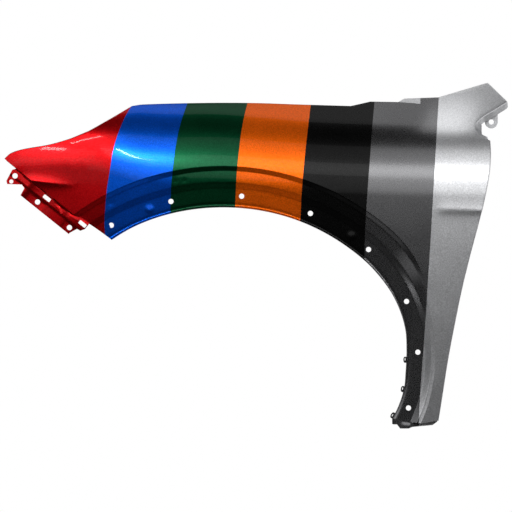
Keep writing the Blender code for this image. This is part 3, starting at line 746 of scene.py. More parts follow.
@dataclass
class Pressing:
    """The whole sheet before it has its thickness: one open surface, in millimetres."""

    arch: ArchLine = ArchLine()
    band: BandForm = BandForm()
    skin: SkinForm = SkinForm()
    outline: OutlineForm = OutlineForm()
    folds: FoldForm = FoldForm()
    strip: StripForm = StripForm()
    ears: EarForm = EarForm()
    lug: LugForm = LugForm()
    grid: Grid = Grid()
    mesh: bmesh.types.BMesh = field(default_factory=bmesh.new)
    rim: list[tuple[Vert, Fold]] = field(default_factory=list)
    flange_line: list[Pair] = field(default_factory=list)
    lug_depth: float = 0.0

    @property
    def heel(self) -> Pair:
        """Lowest point of the skin, where the nose edge meets the arch band."""
        return self.arch.point(self.arch.start - self.arch.start_skew, self.band.reach)

    def strip_place(self, s: float, t: float) -> Vector:
        """Side view place at s along the nose edge and t down from it."""
        origin, along_edge, down = self.strip_axes()
        return origin + along_edge * s + down * t

    def strip_axes(self) -> tuple[Vector, Vector, Vector]:
        """Origin and directions, along the nose edge and down from it, of the fixing strip.

        Returns:
            Origin, direction along and direction down, in the side view.
        """
        tip = Vector(self.outline.nose_tip)
        along_edge = (Vector(self.heel) - tip).normalized()
        down = Vector((along_edge.y, -along_edge.x))
        return tip + along_edge * self.strip.start, along_edge, down

    def skin_rows(self, start: Pair, top: Pair) -> list[Vector]:
        """Points of the skin from start to the outline point top.

        Args:
            start: Side view place that the row starts from, which isn't among the points.
            top: Side view place that it ends on.

        Returns:
            The points.
        """
        points = []
        for k in range(1, self.grid.skin_rows + 1):
            t = 1.0 - (1.0 - k / self.grid.skin_rows) ** self.grid.skin_row_power
            points.append(self.skin.point(start[0] + (top[0] - start[0]) * t,
                                          start[1] + (top[1] - start[1]) * t))
        return points

    def arch_section(self, angle: float, top: Pair) -> list[Vector]:
        """Section from the arch lip to the outline point top, as points of the outer face.

        Args:
            angle: Angle of the section, in degrees.
            top: Side view place that it ends on.

        Returns:
            The points.
        """
        arch, band = self.arch, self.band
        skew = arch.start_skew * max(angle / arch.start, 0.0)
        skew += arch.end_skew * blend(arch.end_skew_from, arch.end, angle)
        squeeze = 1.0 - (1.0 - band.leg_share) * blend(*band.leg_share_span, angle)
        points = []
        for outward, recess in band.profile(angle):
            if outward > band.knee:
                outward = band.knee + (outward - band.knee) * squeeze
            x, z = arch.point(angle - skew * outward / band.reach, outward)
            points.append(self.skin.point(x, z, recess))
        return points + self.skin_rows((points[-1].x, points[-1].z), top)

    def loft(self) -> tuple[list[Column], list[Column], list[float]]:
        """Build nose, skin, arch band and foot.

        Returns:
            The columns of the nose, the columns of the arch, and the angles of the latter.
        """
        out, grid = self.outline, self.grid
        nose = []
        for k in range(1, grid.nose_columns):
            x, z = point_on((out.nose_tip, self.heel), k / grid.nose_columns)
            points = [self.skin.point(x, z)] + self.skin_rows((x, z), (x, out.hood_height(x)))
            nose.append(add_points(self.mesh, points))
        tip = self.mesh.verts.new(self.skin.point(*out.nose_tip))
        for low, high in zip(nose[0], nose[0][1:]):
            self.mesh.faces.new((tip, low, high))
        self.rim.append((tip, Fold.HEADLIGHT))
        angles = spread(self.arch.start, out.root_angle, grid.hood_columns)
        angles += spread(out.root_angle, out.throat_angle, grid.root_columns)
        angles += spread(out.throat_angle, out.corner_angle, grid.throat_columns)
        angles += spread(out.corner_angle, self.arch.end, grid.door_columns) + [self.arch.end]
        tops = [out.top(angle, self.arch, self.band.reach) for angle in angles]
        marks = [out.hood_corner[0], out.hood[-1][0]] + [place[0] for place in out.cowl]
        hood_x = snapped([top[0] for top in tops[:grid.hood_columns]], marks)
        tops[:grid.hood_columns] = [(x, out.hood_height(x)) for x in hood_x]
        arch = [add_points(self.mesh, self.arch_section(angle, top)) for angle, top in zip(angles, tops)]
        arch += self.foot(arch[-1])
        for left, right in zip(arch, arch[1:]):
            add_strip(self.mesh, left, right)
        nose.append(arch[0][len(arch[0]) - len(nose[0]):])
        for left, right in zip(nose, nose[1:]):
            add_strip(self.mesh, left, right)
        self.rim += [(column[-1], Fold.HEADLIGHT) for column in nose[:-1]]
        return nose, arch, angles

    def foot(self, section: Column) -> list[Column]:
        """Jog below the last arch section and the flange under it, level with the band's floor.

        Args:
            section: The last column of the arch.

        Returns:
            The columns below it.
        """
        out = self.outline
        jogs, flanges = [], []
        for vert in section:
            x, y, z = vert.co
            depth = max(y, self.skin.depth(x, z) + self.band.floor)
            jogs.append(Vector((x, depth, z - out.foot_jog)))
            share = max(x - out.foot_taper_start, 0.0) / (out.door_foot[0] - out.foot_taper_start)
            end = x + share * (out.foot_end - out.door_foot[0])
            flanges.append(Vector((end, depth, min(along(out.foot, end), z - out.foot_flange))))
        columns = []
        for share in out.foot_jog_shares:
            rise = math.sqrt(share)
            columns.append([vert.co.lerp(jog, share) for vert, jog in zip(section, jogs)])
            for point, vert, jog in zip(columns[-1], section, jogs):
                point.y = vert.co.y + (jog.y - vert.co.y) * rise
        for share in out.foot_flange_shares:
            row = [jog.lerp(flange, share) for jog, flange in zip(jogs, flanges)]
            for point in row:
                pad = blend(out.pad_x[0] - out.pad_ease, out.pad_x[0], point.x)
                pad *= 1.0 - blend(out.pad_x[1], out.pad_x[1] + out.pad_ease, point.x)
                point.y -= out.pad_height * pad * blend(*out.pad_rise, share)
            columns.append(row)
        return [add_points(self.mesh, column) for column in columns]

    def horn_place(self, u: float, v: float) -> Pair:
        """Side view place in the horn, a patch between its four edges.

        Args:
            u: Share of the way from the horn's root to its end.
            v: Share of the way from its top edge to its underside.

        Returns:
            Place along the car and height.
        """
        out = self.outline
        on_top = point_on((out.horn_root, out.horn_tip), u)
        on_under = point_on((out.throat,) + tuple(reversed(out.underside)) + (out.horn_end,), u)
        on_end = point_on((out.horn_tip, out.horn_end), v)
        place = []
        for axis in (0, 1):
            start = (1 - v) * out.horn_root[axis] + v * out.throat[axis]
            sides = (1 - v) * on_top[axis] + v * on_under[axis]
            ends = (1 - u) * start + u * on_end[axis]
            corners = (1 - u) * start + u * ((1 - v) * out.horn_tip[axis] + v * out.horn_end[axis])
            place.append(sides + ends - corners)
        return place[0], place[1]

    def horn(self, root: Column) -> list[Column]:
        """Horn behind the hood line.

        Args:
            root: Column that it grows from, top first.

        Returns:
            Its columns, from the root to its end.
        """
        rows = len(root) - 1
        count = self.grid.horn_columns
        columns = [root]
        for k in range(1, count + 1):
            points = [self.skin.point(*self.horn_place(k / count, j / rows)) for j in range(rows + 1)]
            columns.append(add_points(self.mesh, points))
        for left, right in zip(columns, columns[1:]):
            for a, b, c, d in zip(left, right, right[1:], left[1:]):
                self.mesh.faces.new((a, d, c, b))
        return columns

    def list_rim(self, arch: list[Column], angles: list[float], horn: list[Column]) -> None:
        """Add the rest of the outline in order, from the hood line round the horn to the foot.

        Args:
            arch: Columns of the arch, from the front to the foot.
            angles: Angles of the arch's columns, in degrees.
            horn: Columns of the horn, from its root to its end.
        """
        out = self.outline
        for column, angle in zip(arch, angles):
            if angle < out.root_angle:
                x = column[-1].co.x
                fold = Fold.COWL
                if x < self.folds.flange_end:
                    fold = Fold.HEADLIGHT if x < out.hood_corner[0] else Fold.HOOD
                self.rim.append((column[-1], fold))
        self.rim += [(column[0], Fold.COWL if column is horn[0] else Fold.HORN) for column in horn]
        self.rim += [(vert, Fold.HORN) for vert in horn[-1][1:]]
        for column in reversed(horn[:-1]):
            below = Fold.UNDERSIDE if column[-1].co.x > self.folds.throat_reach else Fold.THROAT
            self.rim.append((column[-1], below))
        for column, angle in zip(arch, angles):
            if angle > out.throat_angle:
                self.rim.append((column[-1], Fold.DOOR if angle >= out.corner_angle else Fold.THROAT))

    def fold_rim(self) -> list[Column]:
        """Turn the sheet inboard all along the outline.

        Returns:
            Rows of the folds, each from the outline to the free edge.
        """
        places = [vert.co.copy() for vert, _ in self.rim]
        rows = []
        for index, (vert, fold) in enumerate(self.rim):
            before = places[max(index - 1, 0)]
            after = places[min(index + 1, len(places) - 1)]
            normal = self.skin.normal(vert.co.x, vert.co.z)
            outward = normal.cross((after - before).normalized()).normalized()
            rows.append([vert] + add_points(self.mesh, self.folds.points(vert.co, outward, -normal, fold)))
        for left, right in zip(rows, rows[1:]):
            add_strip(self.mesh, left, right)
        self.flange_line = sorted((row[-1].co.x, (row[-1].co.y + row[-self.folds.flange_steps].co.y) / 2)
                                  for row, (_, fold) in zip(rows, self.rim) if fold is Fold.HOOD)
        return rows

    def ear_frame(self, angle: float) -> tuple[Vector, Vector]:
        """Middle of the lip's inner edge at an angle, and the direction in which an ear leaves it.

        Args:
            angle: Angle of the ear, in degrees.

        Returns:
            The middle, and the ear's length as a vector.
        """
        edge, depth = self.band.profile(angle)[0]
        x, z = self.arch.point(angle, edge)
        lean_x, lean_z = self.arch.point(angle, edge - self.ears.lean)
        return self.skin.point(x, z, depth), Vector((lean_x - x, self.ears.length, lean_z - z))

    def add_ears(self, arch: list[Column], angles: list[float]) -> None:
        """Round-ended ears that stand inboard from the inner edge of the rolled lip.

        Args:
            arch: Columns of the arch, from the front to the foot.
            angles: Angles of the arch's columns, in degrees.
        """
        ears = self.ears
        for ear in ears.angles:
            centre, reach = self.ear_frame(ear)
            lips = [column[0] for column, angle in zip(arch, angles)
                    if abs(math.radians(angle - ear)) * self.arch.leg_radius <= ears.half_width]
            columns = []
            for vert in lips:
                points = []
                for k in range(ears.rows, 0, -1):
                    v = k / ears.rows
                    bend = max(v - ears.straight, 0.0) / (1.0 - ears.straight)
                    width = math.sqrt(max(1.0 - bend ** 2, ears.least_width ** 2))
                    points.append(centre + (vert.co - centre) * width + reach * v)
                columns.append(add_points(self.mesh, points) + [vert])
            for left, right in zip(columns, columns[1:]):
                add_strip(self.mesh, left, right)

    def add_lug(self, rows: list[Column]) -> None:
        """Shelf inboard from the fold under the horn, and the round lug below it.

        Args:
            rows: Rows of the folds, in the order of the outline.
        """
        lug = self.lug
        below = [row[-1] for row, (_, fold) in zip(rows, self.rim) if fold is Fold.UNDERSIDE]
        first = min(range(len(below)), key=lambda k: abs(below[k].co.x - lug.centre[0] - lug.radius))
        carried = [vert for vert in below[first:] if vert.co.x > lug.centre[0] - lug.radius]
        self.lug_depth = carried[0].co.y + lug.shelf
        lowered = [Vector((vert.co.x, self.lug_depth, vert.co.z - lug.neck)) for vert in carried]
        neck = add_points(self.mesh, lowered)
        add_strip(self.mesh, neck, carried)
        arc = []
        for k in range(lug.steps + 1):
            turn = math.pi * k / lug.steps
            arc.append(Vector((lug.centre[0] + lug.radius * math.cos(turn), self.lug_depth,
                               lug.centre[1] - lug.radius * math.sin(turn))))
        edge = add_points(self.mesh, arc)
        self.mesh.faces.new(neck + list(reversed(edge)))

    def add_step_below_nose(self, nose: list[Column], band: Column) -> Column:
        """Step below the nose edge, joined to the arch band's end.

        Args:
            nose: Columns of the nose, from its tip to the arch band.
            band: First column of the arch.

        Returns:
            The row that the fixing strip hangs from.
        """
        strip = self.strip
        lower = band.index(nose[-1][0])
        _, _, down = self.strip_axes()
        fall = Vector((down.x, 0.0, down.y)) * strip.step
        columns = []
        for column in nose:
            points = []
            for k in range(1, strip.step_rows + 1):
                share = (k / strip.step_rows) ** 2
                points.append(column[0].co + fall * share + ACROSS * (strip.depth * math.sqrt(share)))
            columns.append([column[0]] + add_points(self.mesh, points))
        for left, right in zip(columns, columns[1:]):
            add_strip(self.mesh, list(reversed(left)), list(reversed(right)))
        corner = [band[lower - k] for k in range(strip.step_rows + 1)]
        last = columns[-1]
        self.mesh.faces.new((last[0], last[1], corner[1]))
        for k in range(1, strip.step_rows):
            self.mesh.faces.new((last[k], last[k + 1], corner[k + 1], corner[k]))
        row = [column[-1] for column in columns]
        profile = self.band.profile(self.arch.start)
        bend = self.band.lower_start + self.band.lower_width - self.band.ease
        k = lower - strip.step_rows
        while profile[k][0] > bend:
            row.append(band[k])
            k -= 1
        return row

    def add_fixing_strip(self, start: Column) -> None:
        """Fixing strip with its jog and its pressed details.

        Args:
            start: The row that it hangs from, front to rear.
        """
        strip = self.strip
        origin, along_edge, down = self.strip_axes()
        jog_start = strip.jog - strip.jog_ease
        levels = [(k / strip.top_rows, 0.0) for k in range(1, strip.top_rows + 1)]
        levels += [(1.0, step) for step in self.strip_steps()]
        rows = [start]
        for share, fixed in levels:
            points = []
            for vert in start:
                place = Vector((vert.co.x, vert.co.z)) - origin
                s, t = place.dot(along_edge), place.dot(down)
                t += (jog_start - t) * share + fixed
                x, z = self.strip_place(s, t)
                jog = eased_ramp(t, strip.jog - strip.jog_ease / 2, strip.jog_ease, strip.jog_ease / 2)
                depth = strip.jog_depth * jog + strip.tilt * (t - strip.step) + strip.emboss(s, t)
                points.append(Vector((x, vert.co.y + depth, z)))
            rows.append(add_points(self.mesh, points))
        for upper, below in zip(rows, rows[1:]):
            add_strip(self.mesh, upper, below)

    def strip_steps(self) -> list[float]:
        """Distances of the strip's lower rows below the start of its jog.

        Returns:
            Distances in rising order.
        """
        strip = self.strip
        jog = [strip.jog_ease * 2 * k / strip.jog_rows for k in range(1, strip.jog_rows + 1)]
        left = strip.width - (strip.jog + strip.jog_ease)
        count = round(left / strip.row_pitch)
        return jog + [jog[-1] + left * k / count for k in range(1, count + 1)]

    def build(self) -> bmesh.types.BMesh:
        """Build the sheet and return it.

        Returns:
            The open surface, in millimetres.
        """
        nose, arch, angles = self.loft()
        out = self.outline
        root = [column[-1] for column, angle in zip(arch, angles)
                if out.root_angle <= angle <= out.throat_angle]
        horn = self.horn(root)
        self.list_rim(arch, angles, horn)
        rows = self.fold_rim()
        self.add_lug(rows)
        self.add_ears(arch, angles)
        self.add_fixing_strip(self.add_step_below_nose(nose, arch[0]))
        return self.mesh


@dataclass
class Piercing:
    """Every hole, slot and trimmed edge of the pressing, as closed solids."""

    press: Pressing
    holes: HoleForm = HoleForm()
    mesh: bmesh.types.BMesh = field(default_factory=bmesh.new)

    def cylinder(self, centre: Vector, axis: Vector, diameter: float, length: float) -> None:
        """Closed cylinder for a hole.

        Args:
            centre: Its middle.
            axis: Its direction.
            diameter: Its diameter.
            length: Its length.
        """
        turn = UP.rotation_difference(axis).to_matrix().to_4x4()
        bmesh.ops.create_cone(self.mesh, cap_ends=True, segments=self.holes.sides, radius1=diameter / 2,
                              radius2=diameter / 2, depth=length, matrix=Matrix.Translation(centre) @ turn)

    def prism(self, outline: Sequence[Pair], near: float, far: float) -> None:
        """Closed prism across the car from an outline in the side view.

        Args:
            outline: Corners of the outline, in order.
            near: Depth of its outboard end.
            far: Depth of its inboard end.
        """
        front = add_points(self.mesh, [Vector((x, near, z)) for x, z in outline])
        back = add_points(self.mesh, [Vector((x, far, z)) for x, z in outline])
        faces = [self.mesh.faces.new(front), self.mesh.faces.new(list(reversed(back)))]
        for k in range(len(front)):
            j = (k + 1) % len(front)
            faces.append(self.mesh.faces.new((front[k], back[k], back[j], front[j])))
        bmesh.ops.recalc_face_normals(self.mesh, faces=faces)

    def slot(self, s: float, t: float) -> list[Pair]:
        """Outline of a slot of the strip with rounded corners.

        Args:
            s: Distance of its middle along the nose edge.
            t: Distance of its middle down from it.

        Returns:
            Side view places, in order.
        """
        strip = self.press.strip
        points = []
        for a, b, start in ((1, 1, 0), (-1, 1, 1), (-1, -1, 2), (1, -1, 3)):
            for k in range(strip.slot_corner_steps + 1):
                turn = math.pi / 2 * (start + k / strip.slot_corner_steps)
                ds = a * (strip.slot_length / 2 - strip.slot_corner) + strip.slot_corner * math.cos(turn)
                dt = b * (strip.slot_width / 2 - strip.slot_corner) + strip.slot_corner * math.sin(turn)
                points.append(tuple(self.press.strip_place(s + ds, t + dt)))
        return points

    def build(self) -> bmesh.types.BMesh:
        """Build the solids and return them.

        Returns:
            The solids, in millimetres.
        """
        press, holes = self.press, self.holes
        for angle in holes.clip_angles:
            x, z = press.arch.point(angle, press.band.hole_line)
            self.cylinder(press.skin.point(x, z, press.band.floor), ACROSS, holes.clip, holes.pierce)
        for s, t, size in press.strip.holes:
            x, z = press.strip_place(s, t)
            self.cylinder(press.skin.point(x, z, press.strip.depth), ACROSS, size, holes.strip_pierce)
        for s, t in press.strip.slots:
            depth = press.skin.depth(*press.strip_place(s, t)) + press.strip.depth
            self.prism(self.slot(s, t), depth - holes.strip_pierce / 2, depth + holes.strip_pierce / 2)
        for trim in (press.strip.tab_trim, press.strip.end_trim):
            self.prism([tuple(press.strip_place(s, t)) for s, t in trim], 0.0,
                       press.skin.nose_wrap + holes.trim_margin)
        for ear in press.ears.angles:
            centre, reach = press.ear_frame(ear)
            tangent = Vector((math.cos(math.radians(ear)), 0.0, -math.sin(math.radians(ear))))
            self.cylinder(centre + press.ears.hole_place * reach, reach.cross(tangent).normalized(),
                          press.ears.hole, holes.ear_pierce)
        lug_x, lug_z = press.lug.centre
        self.cylinder(Vector((lug_x, press.lug_depth, lug_z)), ACROSS, press.lug.hole, holes.pierce)
        for x in holes.flange_places:
            place = Vector((x, along(press.flange_line, x), press.folds.flange_height))
            self.cylinder(place, UP, holes.flange, holes.pierce)
        return self.mesh


# Paints

class Socket:
    """One output of a node, with sums written as plain operators."""

    def __init__(self, tree: "Tree", output: bpy.types.NodeSocket | None) -> None:
        """Wrap an output of a node of the tree."""
        self.tree = tree
        self.output = output

    def math(self, operation: str, first: "Value", second: "Value") -> "Socket":
        """Result of one operation on two values."""
        return self.tree.node("ShaderNodeMath", {"operation": operation}, {0: first, 1: second})

    def __add__(self, other: "Value") -> "Socket":
        """This value plus another."""
        return self.math("ADD", self, other)

    def __radd__(self, other: "Value") -> "Socket":
        """Another value plus this one."""
        return self.math("ADD", other, self)

    def __sub__(self, other: "Value") -> "Socket":
        """This value less another."""
        return self.math("SUBTRACT", self, other)

    def __rsub__(self, other: "Value") -> "Socket":
        """Another value less this one."""
        return self.math("SUBTRACT", other, self)

    def __mul__(self, other: "Value") -> "Socket":
        """This value times another."""
        return self.math("MULTIPLY", self, other)

    def __rmul__(self, other: "Value") -> "Socket":
        """Another value times this one."""
        return self.math("MULTIPLY", other, self)

    def maximum(self, other: "Value") -> "Socket":
        """Larger of this value and another."""
        return self.math("MAXIMUM", self, other)

    def ramp(self, low: float, high: float, to_low: float = 0.0, to_high: float = 1.0) -> "Socket":
        """Map a range smoothly onto another, and clamp it there.

        Args:
            low: Value that becomes to_low.
            high: Value that becomes to_high.
            to_low: Least value of the result.
            to_high: Greatest value of the result.

        Returns:
            The mapped value.
        """
        return self.tree.node("ShaderNodeMapRange", {"interpolation_type": "SMOOTHSTEP"},
                              {"Value": self, "From Min": low, "From Max": high,
                               "To Min": to_low, "To Max": to_high}, output="Result")


Value = float | int | tuple | Socket


class Tree:
    """Node tree of one material or world."""

    def __init__(self, owner: bpy.types.ID) -> None:
        """Give the owner an empty tree.

        Args:
            owner: The material or world.
        """
        owner.use_nodes = True
        self.nodes = owner.node_tree.nodes
        self.links = owner.node_tree.links
        self.nodes.clear()

    def node(self, kind: str, settings: dict[str, object] | None = None,
             inputs: dict[str | int, "Value"] | None = None, output: str | int = 0) -> Socket:
        """Create a node.

        Args:
            kind: Blender's name of the node's type.
            settings: Properties of the node.
            inputs: Values or sockets for its inputs, by name or number.
            output: The output that is returned, by name or number.

        Returns:
            The chosen output.
        """
        made = self.nodes.new(kind)
        for name, value in (settings or {}).items():
            setattr(made, name, value)
        for name, value in (inputs or {}).items():
            if isinstance(value, Socket):
                self.links.new(value.output, made.inputs[name])
            else:
                made.inputs[name].default_value = value
        return Socket(self, made.outputs[output] if len(made.outputs) else None)

    def mix(self, factor: "Value", first: "Value", second: "Value") -> Socket:
        """Mix of two colours, by the numbers that the colours' sockets have on the node."""
        return self.node("ShaderNodeMix", {"data_type": "RGBA"}, {0: factor, 6: first, 7: second}, output=2)

    def noise(self, place: Socket, scale: float, detail: float) -> Socket:
        """Cloudy pattern between 0 and 1, with so many features to a metre."""
        return self.node("ShaderNodeTexNoise", None, {"Vector": place, "Scale": scale, "Detail": detail})


def rgba(colour: tuple[float, float, float]) -> tuple[float, float, float, float]:
    """Colour with full alpha."""
    return (*colour, 1.0)


def seen_rays(tree: Tree) -> Socket:
    """One for rays from the camera and for the reflected and refracted rays that follow them.

    Args:
        tree: Node tree the value is wanted in.

    Returns:
        Value of one for such rays and zero for light bounced from matt surfaces.
    """
    camera = tree.node("ShaderNodeLightPath", output="Is Camera Ray")
    glossy = tree.node("ShaderNodeLightPath", output="Is Glossy Ray")
    through = tree.node("ShaderNodeLightPath", output="Is Transmission Ray")
    return camera.maximum(glossy).maximum(through)


@dataclass(frozen=True)
class Texture:
    """What varies over every paint: flakes, grain, cloudiness and the waves of the clear coat."""

    middle: float = 0.5
    grain_scale: float = 430.0
    grain_span: Pair = (0.2, 0.8)
    grain_share: float = 0.75
    grain_roughness: float = 0.02
    flake_scale: float = 1500.0
    flake_share: float = 0.3
    flake_shine: float = 0.02
    cloud_scale: float = 24.0
    cloud_detail: float = 3.0
    cloud_share: float = 0.2
    cloud_roughness: float = 0.05
    plain_detail: float = 1.0
    peel_scale: float = 260.0
    peel_height: float = 0.015
    wave_scale: float = 9.0
    wave_height: float = 1.2
    bump_strength: float = 0.5
    bump_distance: float = 0.0004


@dataclass(frozen=True)
class Paint:
    """Clear-coated metallic paint of one band."""

    name: str
    colour: tuple[float, float, float]
    metallic: float
    roughness: float
    flake: float = 0.25
    coat: float = 0.14
    coat_roughness: float = 0.05
    specular: float = 0.05
    texture: Texture = Texture()

    def material(self) -> bpy.types.Material:
        """Principled material with flakes, a wavy clear coat and slight wear in the finish.

        Returns:
            The material.
        """
        look = self.texture
        material = bpy.data.materials.new(self.name)
        tree = Tree(material)
        place = tree.node("ShaderNodeTexCoord", output="Object")
        grain = tree.noise(place, look.grain_scale, look.plain_detail).ramp(*look.grain_span)
        flake = tree.node("ShaderNodeTexVoronoi", None, {"Vector": place, "Scale": look.flake_scale})
        cloud = tree.noise(place, look.cloud_scale, look.cloud_detail) - look.middle
        dark = rgba(tuple(c * (1.0 - self.flake) for c in self.colour))
        shine = look.flake_shine * self.flake
        light = rgba(tuple(min(c * (1.0 + self.flake) + shine, 1.0) for c in self.colour))
        share = grain * look.grain_share + (1.0 - flake) * look.flake_share + cloud * look.cloud_share
        colour = tree.mix(share, dark, light)
        uneven = (grain - look.middle) * look.grain_roughness + cloud * look.cloud_roughness
        tint = rgba(tuple((1.0 + c) / 2.0 for c in self.colour))
        peel = tree.noise(place, look.peel_scale, look.plain_detail) * look.peel_height
        wave = tree.noise(place, look.wave_scale, look.plain_detail) * look.wave_height
        normal = tree.node("ShaderNodeBump", None, {
            "Strength": look.bump_strength, "Distance": look.bump_distance,
            "Height": peel + wave}, output="Normal")
        shader = tree.node("ShaderNodeBsdfPrincipled", None, {
            "Base Color": colour, "Metallic": self.metallic, "Roughness": self.roughness + uneven,
            "Normal": normal,
            "Specular IOR Level": self.specular, "Specular Tint": tint,
            "Coat Weight": self.coat, "Coat Roughness": self.coat_roughness})
        tree.node("ShaderNodeOutputMaterial", None, {"Surface": shader})
        material.diffuse_color = rgba(self.colour)
        return material


PAINTS = (
    Paint("red_paint", (0.44, 0.001, 0.003), 0.88, 0.30),
    Paint("blue_paint", (0.0, 0.085, 0.60), 0.84, 0.30),
    Paint("green_paint", (0.0, 0.050, 0.017), 0.92, 0.32),
    Paint("orange_paint", (0.80, 0.115, 0.001), 0.70, 0.34),
    Paint("black_paint", (0.008, 0.008, 0.008), 0.85, 0.27, 0.16, coat=0.09),
    Paint("charcoal_paint", (0.13, 0.13, 0.134), 0.96, 0.27, 0.13, coat=0.08),
    Paint("silver_paint", (0.58, 0.585, 0.60), 0.85, 0.32),
)


@dataclass(frozen=True)
class PaintBands:
    """Seven bands of paint, parted by slanted and slightly bowed lines.

    Each border is a list of height and place along the car, from its lowest point up.
    """

    paints: tuple[Paint, ...] = PAINTS
    borders: tuple[tuple[Pair, ...], ...] = (
        ((370.0, -235.2), (388.0, -236.4), (412.0, -235.2), (436.0, -233.4), (460.0, -231.0),
         (484.0, -227.4), (508.0, -223.4), (532.0, -219.6), (556.0, -213.2), (580.0, -204.8),
         (604.0, -194.4), (622.0, -184.0), (636.0, -175.2)),
        ((412.0, -104.4), (460.0, -103.0), (496.0, -99.8), (520.0, -97.2), (544.0, -93.4), (568.0, -89.2),
         (592.0, -83.2), (616.0, -75.4), (628.0, -71.2), (640.0, -66.8)),
        ((422.0, 24.8), (460.0, 26.6), (496.0, 28.8), (532.0, 32.6), (568.0, 36.8), (604.0, 43.4),
         (628.0, 49.2), (640.0, 52.8)),
        ((398.0, 155.4), (436.0, 157.0), (472.0, 159.6), (508.0, 162.8), (544.0, 166.4), (580.0, 170.6),
         (616.0, 175.0), (640.0, 178.8)),
        ((348.0, 283.4), (396.0, 285.8), (444.0, 288.8), (492.0, 292.2), (540.0, 296.0), (588.0, 299.8),
         (628.0, 303.6), (644.0, 305.2)),
        ((-24.0, 391.6), (32.0, 393.6), (156.0, 402.4), (204.0, 405.8), (276.0, 410.0), (348.0, 414.8),
         (444.0, 420.2), (540.0, 426.0), (612.0, 430.8), (648.0, 433.6)),
    )
    snap: float = 0.1
    # Line and margin of the lug's silver patch: a painted highlight, silver paint in the charcoal band.
    painted_highlight_line: tuple[Pair, Pair] = ((350.0, 632.6), (396.0, 628.8))
    painted_highlight_margin: float = 20.0

    def on_painted_highlight(self, x: float, z: float) -> bool:
        """Whether a place is on the lug at the bolt flange's end, whose silver paint in the charcoal band is
        a painted highlight.
        """
        return self.painted_highlight_line[0][0] < x < self.painted_highlight_line[1][0] and z > along(self.painted_highlight_line, x)

    def near_painted_highlight(self, place: Vector) -> bool:
        """Whether a place is less than the margin away from the lug."""
        (x0, _), (x1, z1) = self.painted_highlight_line
        return x0 - self.painted_highlight_margin < place.x < x1 + self.painted_highlight_margin and place.z > z1 - self.painted_highlight_margin

    def divide(self, mesh: bmesh.types.BMesh) -> None:
        """Put edges along the borders, each straightened while it is cut, and round the lug's silver painted
        highlight.

        Args:
            mesh: The sheet, which is changed.
        """
        (x0, z0), (x1, z1) = self.painted_highlight_line
        for normal in (Vector((z0 - z1, 0.0, x1 - x0)), AHEAD):
            faces = [face for face in mesh.faces if all(self.near_painted_highlight(vert.co) for vert in face.verts)]
            edges = list(dict.fromkeys(edge for face in faces for edge in face.edges))
            verts = list(dict.fromkeys(vert for face in faces for vert in face.verts))
            bmesh.ops.bisect_plane(mesh, geom=verts + edges + faces, dist=self.snap,
                                   plane_co=Vector((x1, 0.0, z1)), plane_no=normal)
        for border in self.borders:
            for vert in mesh.verts:
                vert.co.x -= smooth_along(border, vert.co.z)
            geometry = mesh.verts[:] + mesh.edges[:] + mesh.faces[:]
            bmesh.ops.bisect_plane(mesh, geom=geometry, dist=self.snap, plane_co=Vector(), plane_no=AHEAD)
            for vert in mesh.verts:
                vert.co.x += smooth_along(border, vert.co.z)

    def paint(self, mesh: bmesh.types.BMesh) -> None:
        """Give each face the paint of the band that it lies in, and the lug its painted highlight of silver
        paint.

        Args:
            mesh: The sheet, which is changed.
        """
        for face in mesh.faces:
            centre = face.calc_center_median()
            band = sum(centre.x > smooth_along(border, centre.z) for border in self.borders)
            # Faces on the lug take the silver paint as a painted highlight.
            face.material_index = len(self.borders) if self.on_painted_highlight(centre.x, centre.z) else band


def add_object(name: str, mesh: bmesh.types.BMesh) -> bpy.types.Object:
    """Put a mesh into the scene.

    Args:
        name: Name of the object.
        mesh: The mesh, which is used up.

    Returns:
        The object that holds it.
    """
    data = bpy.data.meshes.new(name)
    mesh.to_mesh(data)
    mesh.free()
    item = bpy.data.objects.new(name, data)
    bpy.context.scene.collection.objects.link(item)
    return item


def add_plane(name: str, width: float, height: float) -> bpy.types.Object:
    """Put a flat rectangle into the scene, centred on its own origin.

    Args:
        name: Name of the object.
        width: Size along its own X.
        height: Size along its own Y.

    Returns:
        The rectangle.
    """
    mesh = bmesh.new()
    bmesh.ops.create_grid(mesh, x_segments=1, y_segments=1, size=0.5)
    bmesh.ops.scale(mesh, verts=mesh.verts, vec=Vector((width, height, 1.0)))
    return add_object(name, mesh)


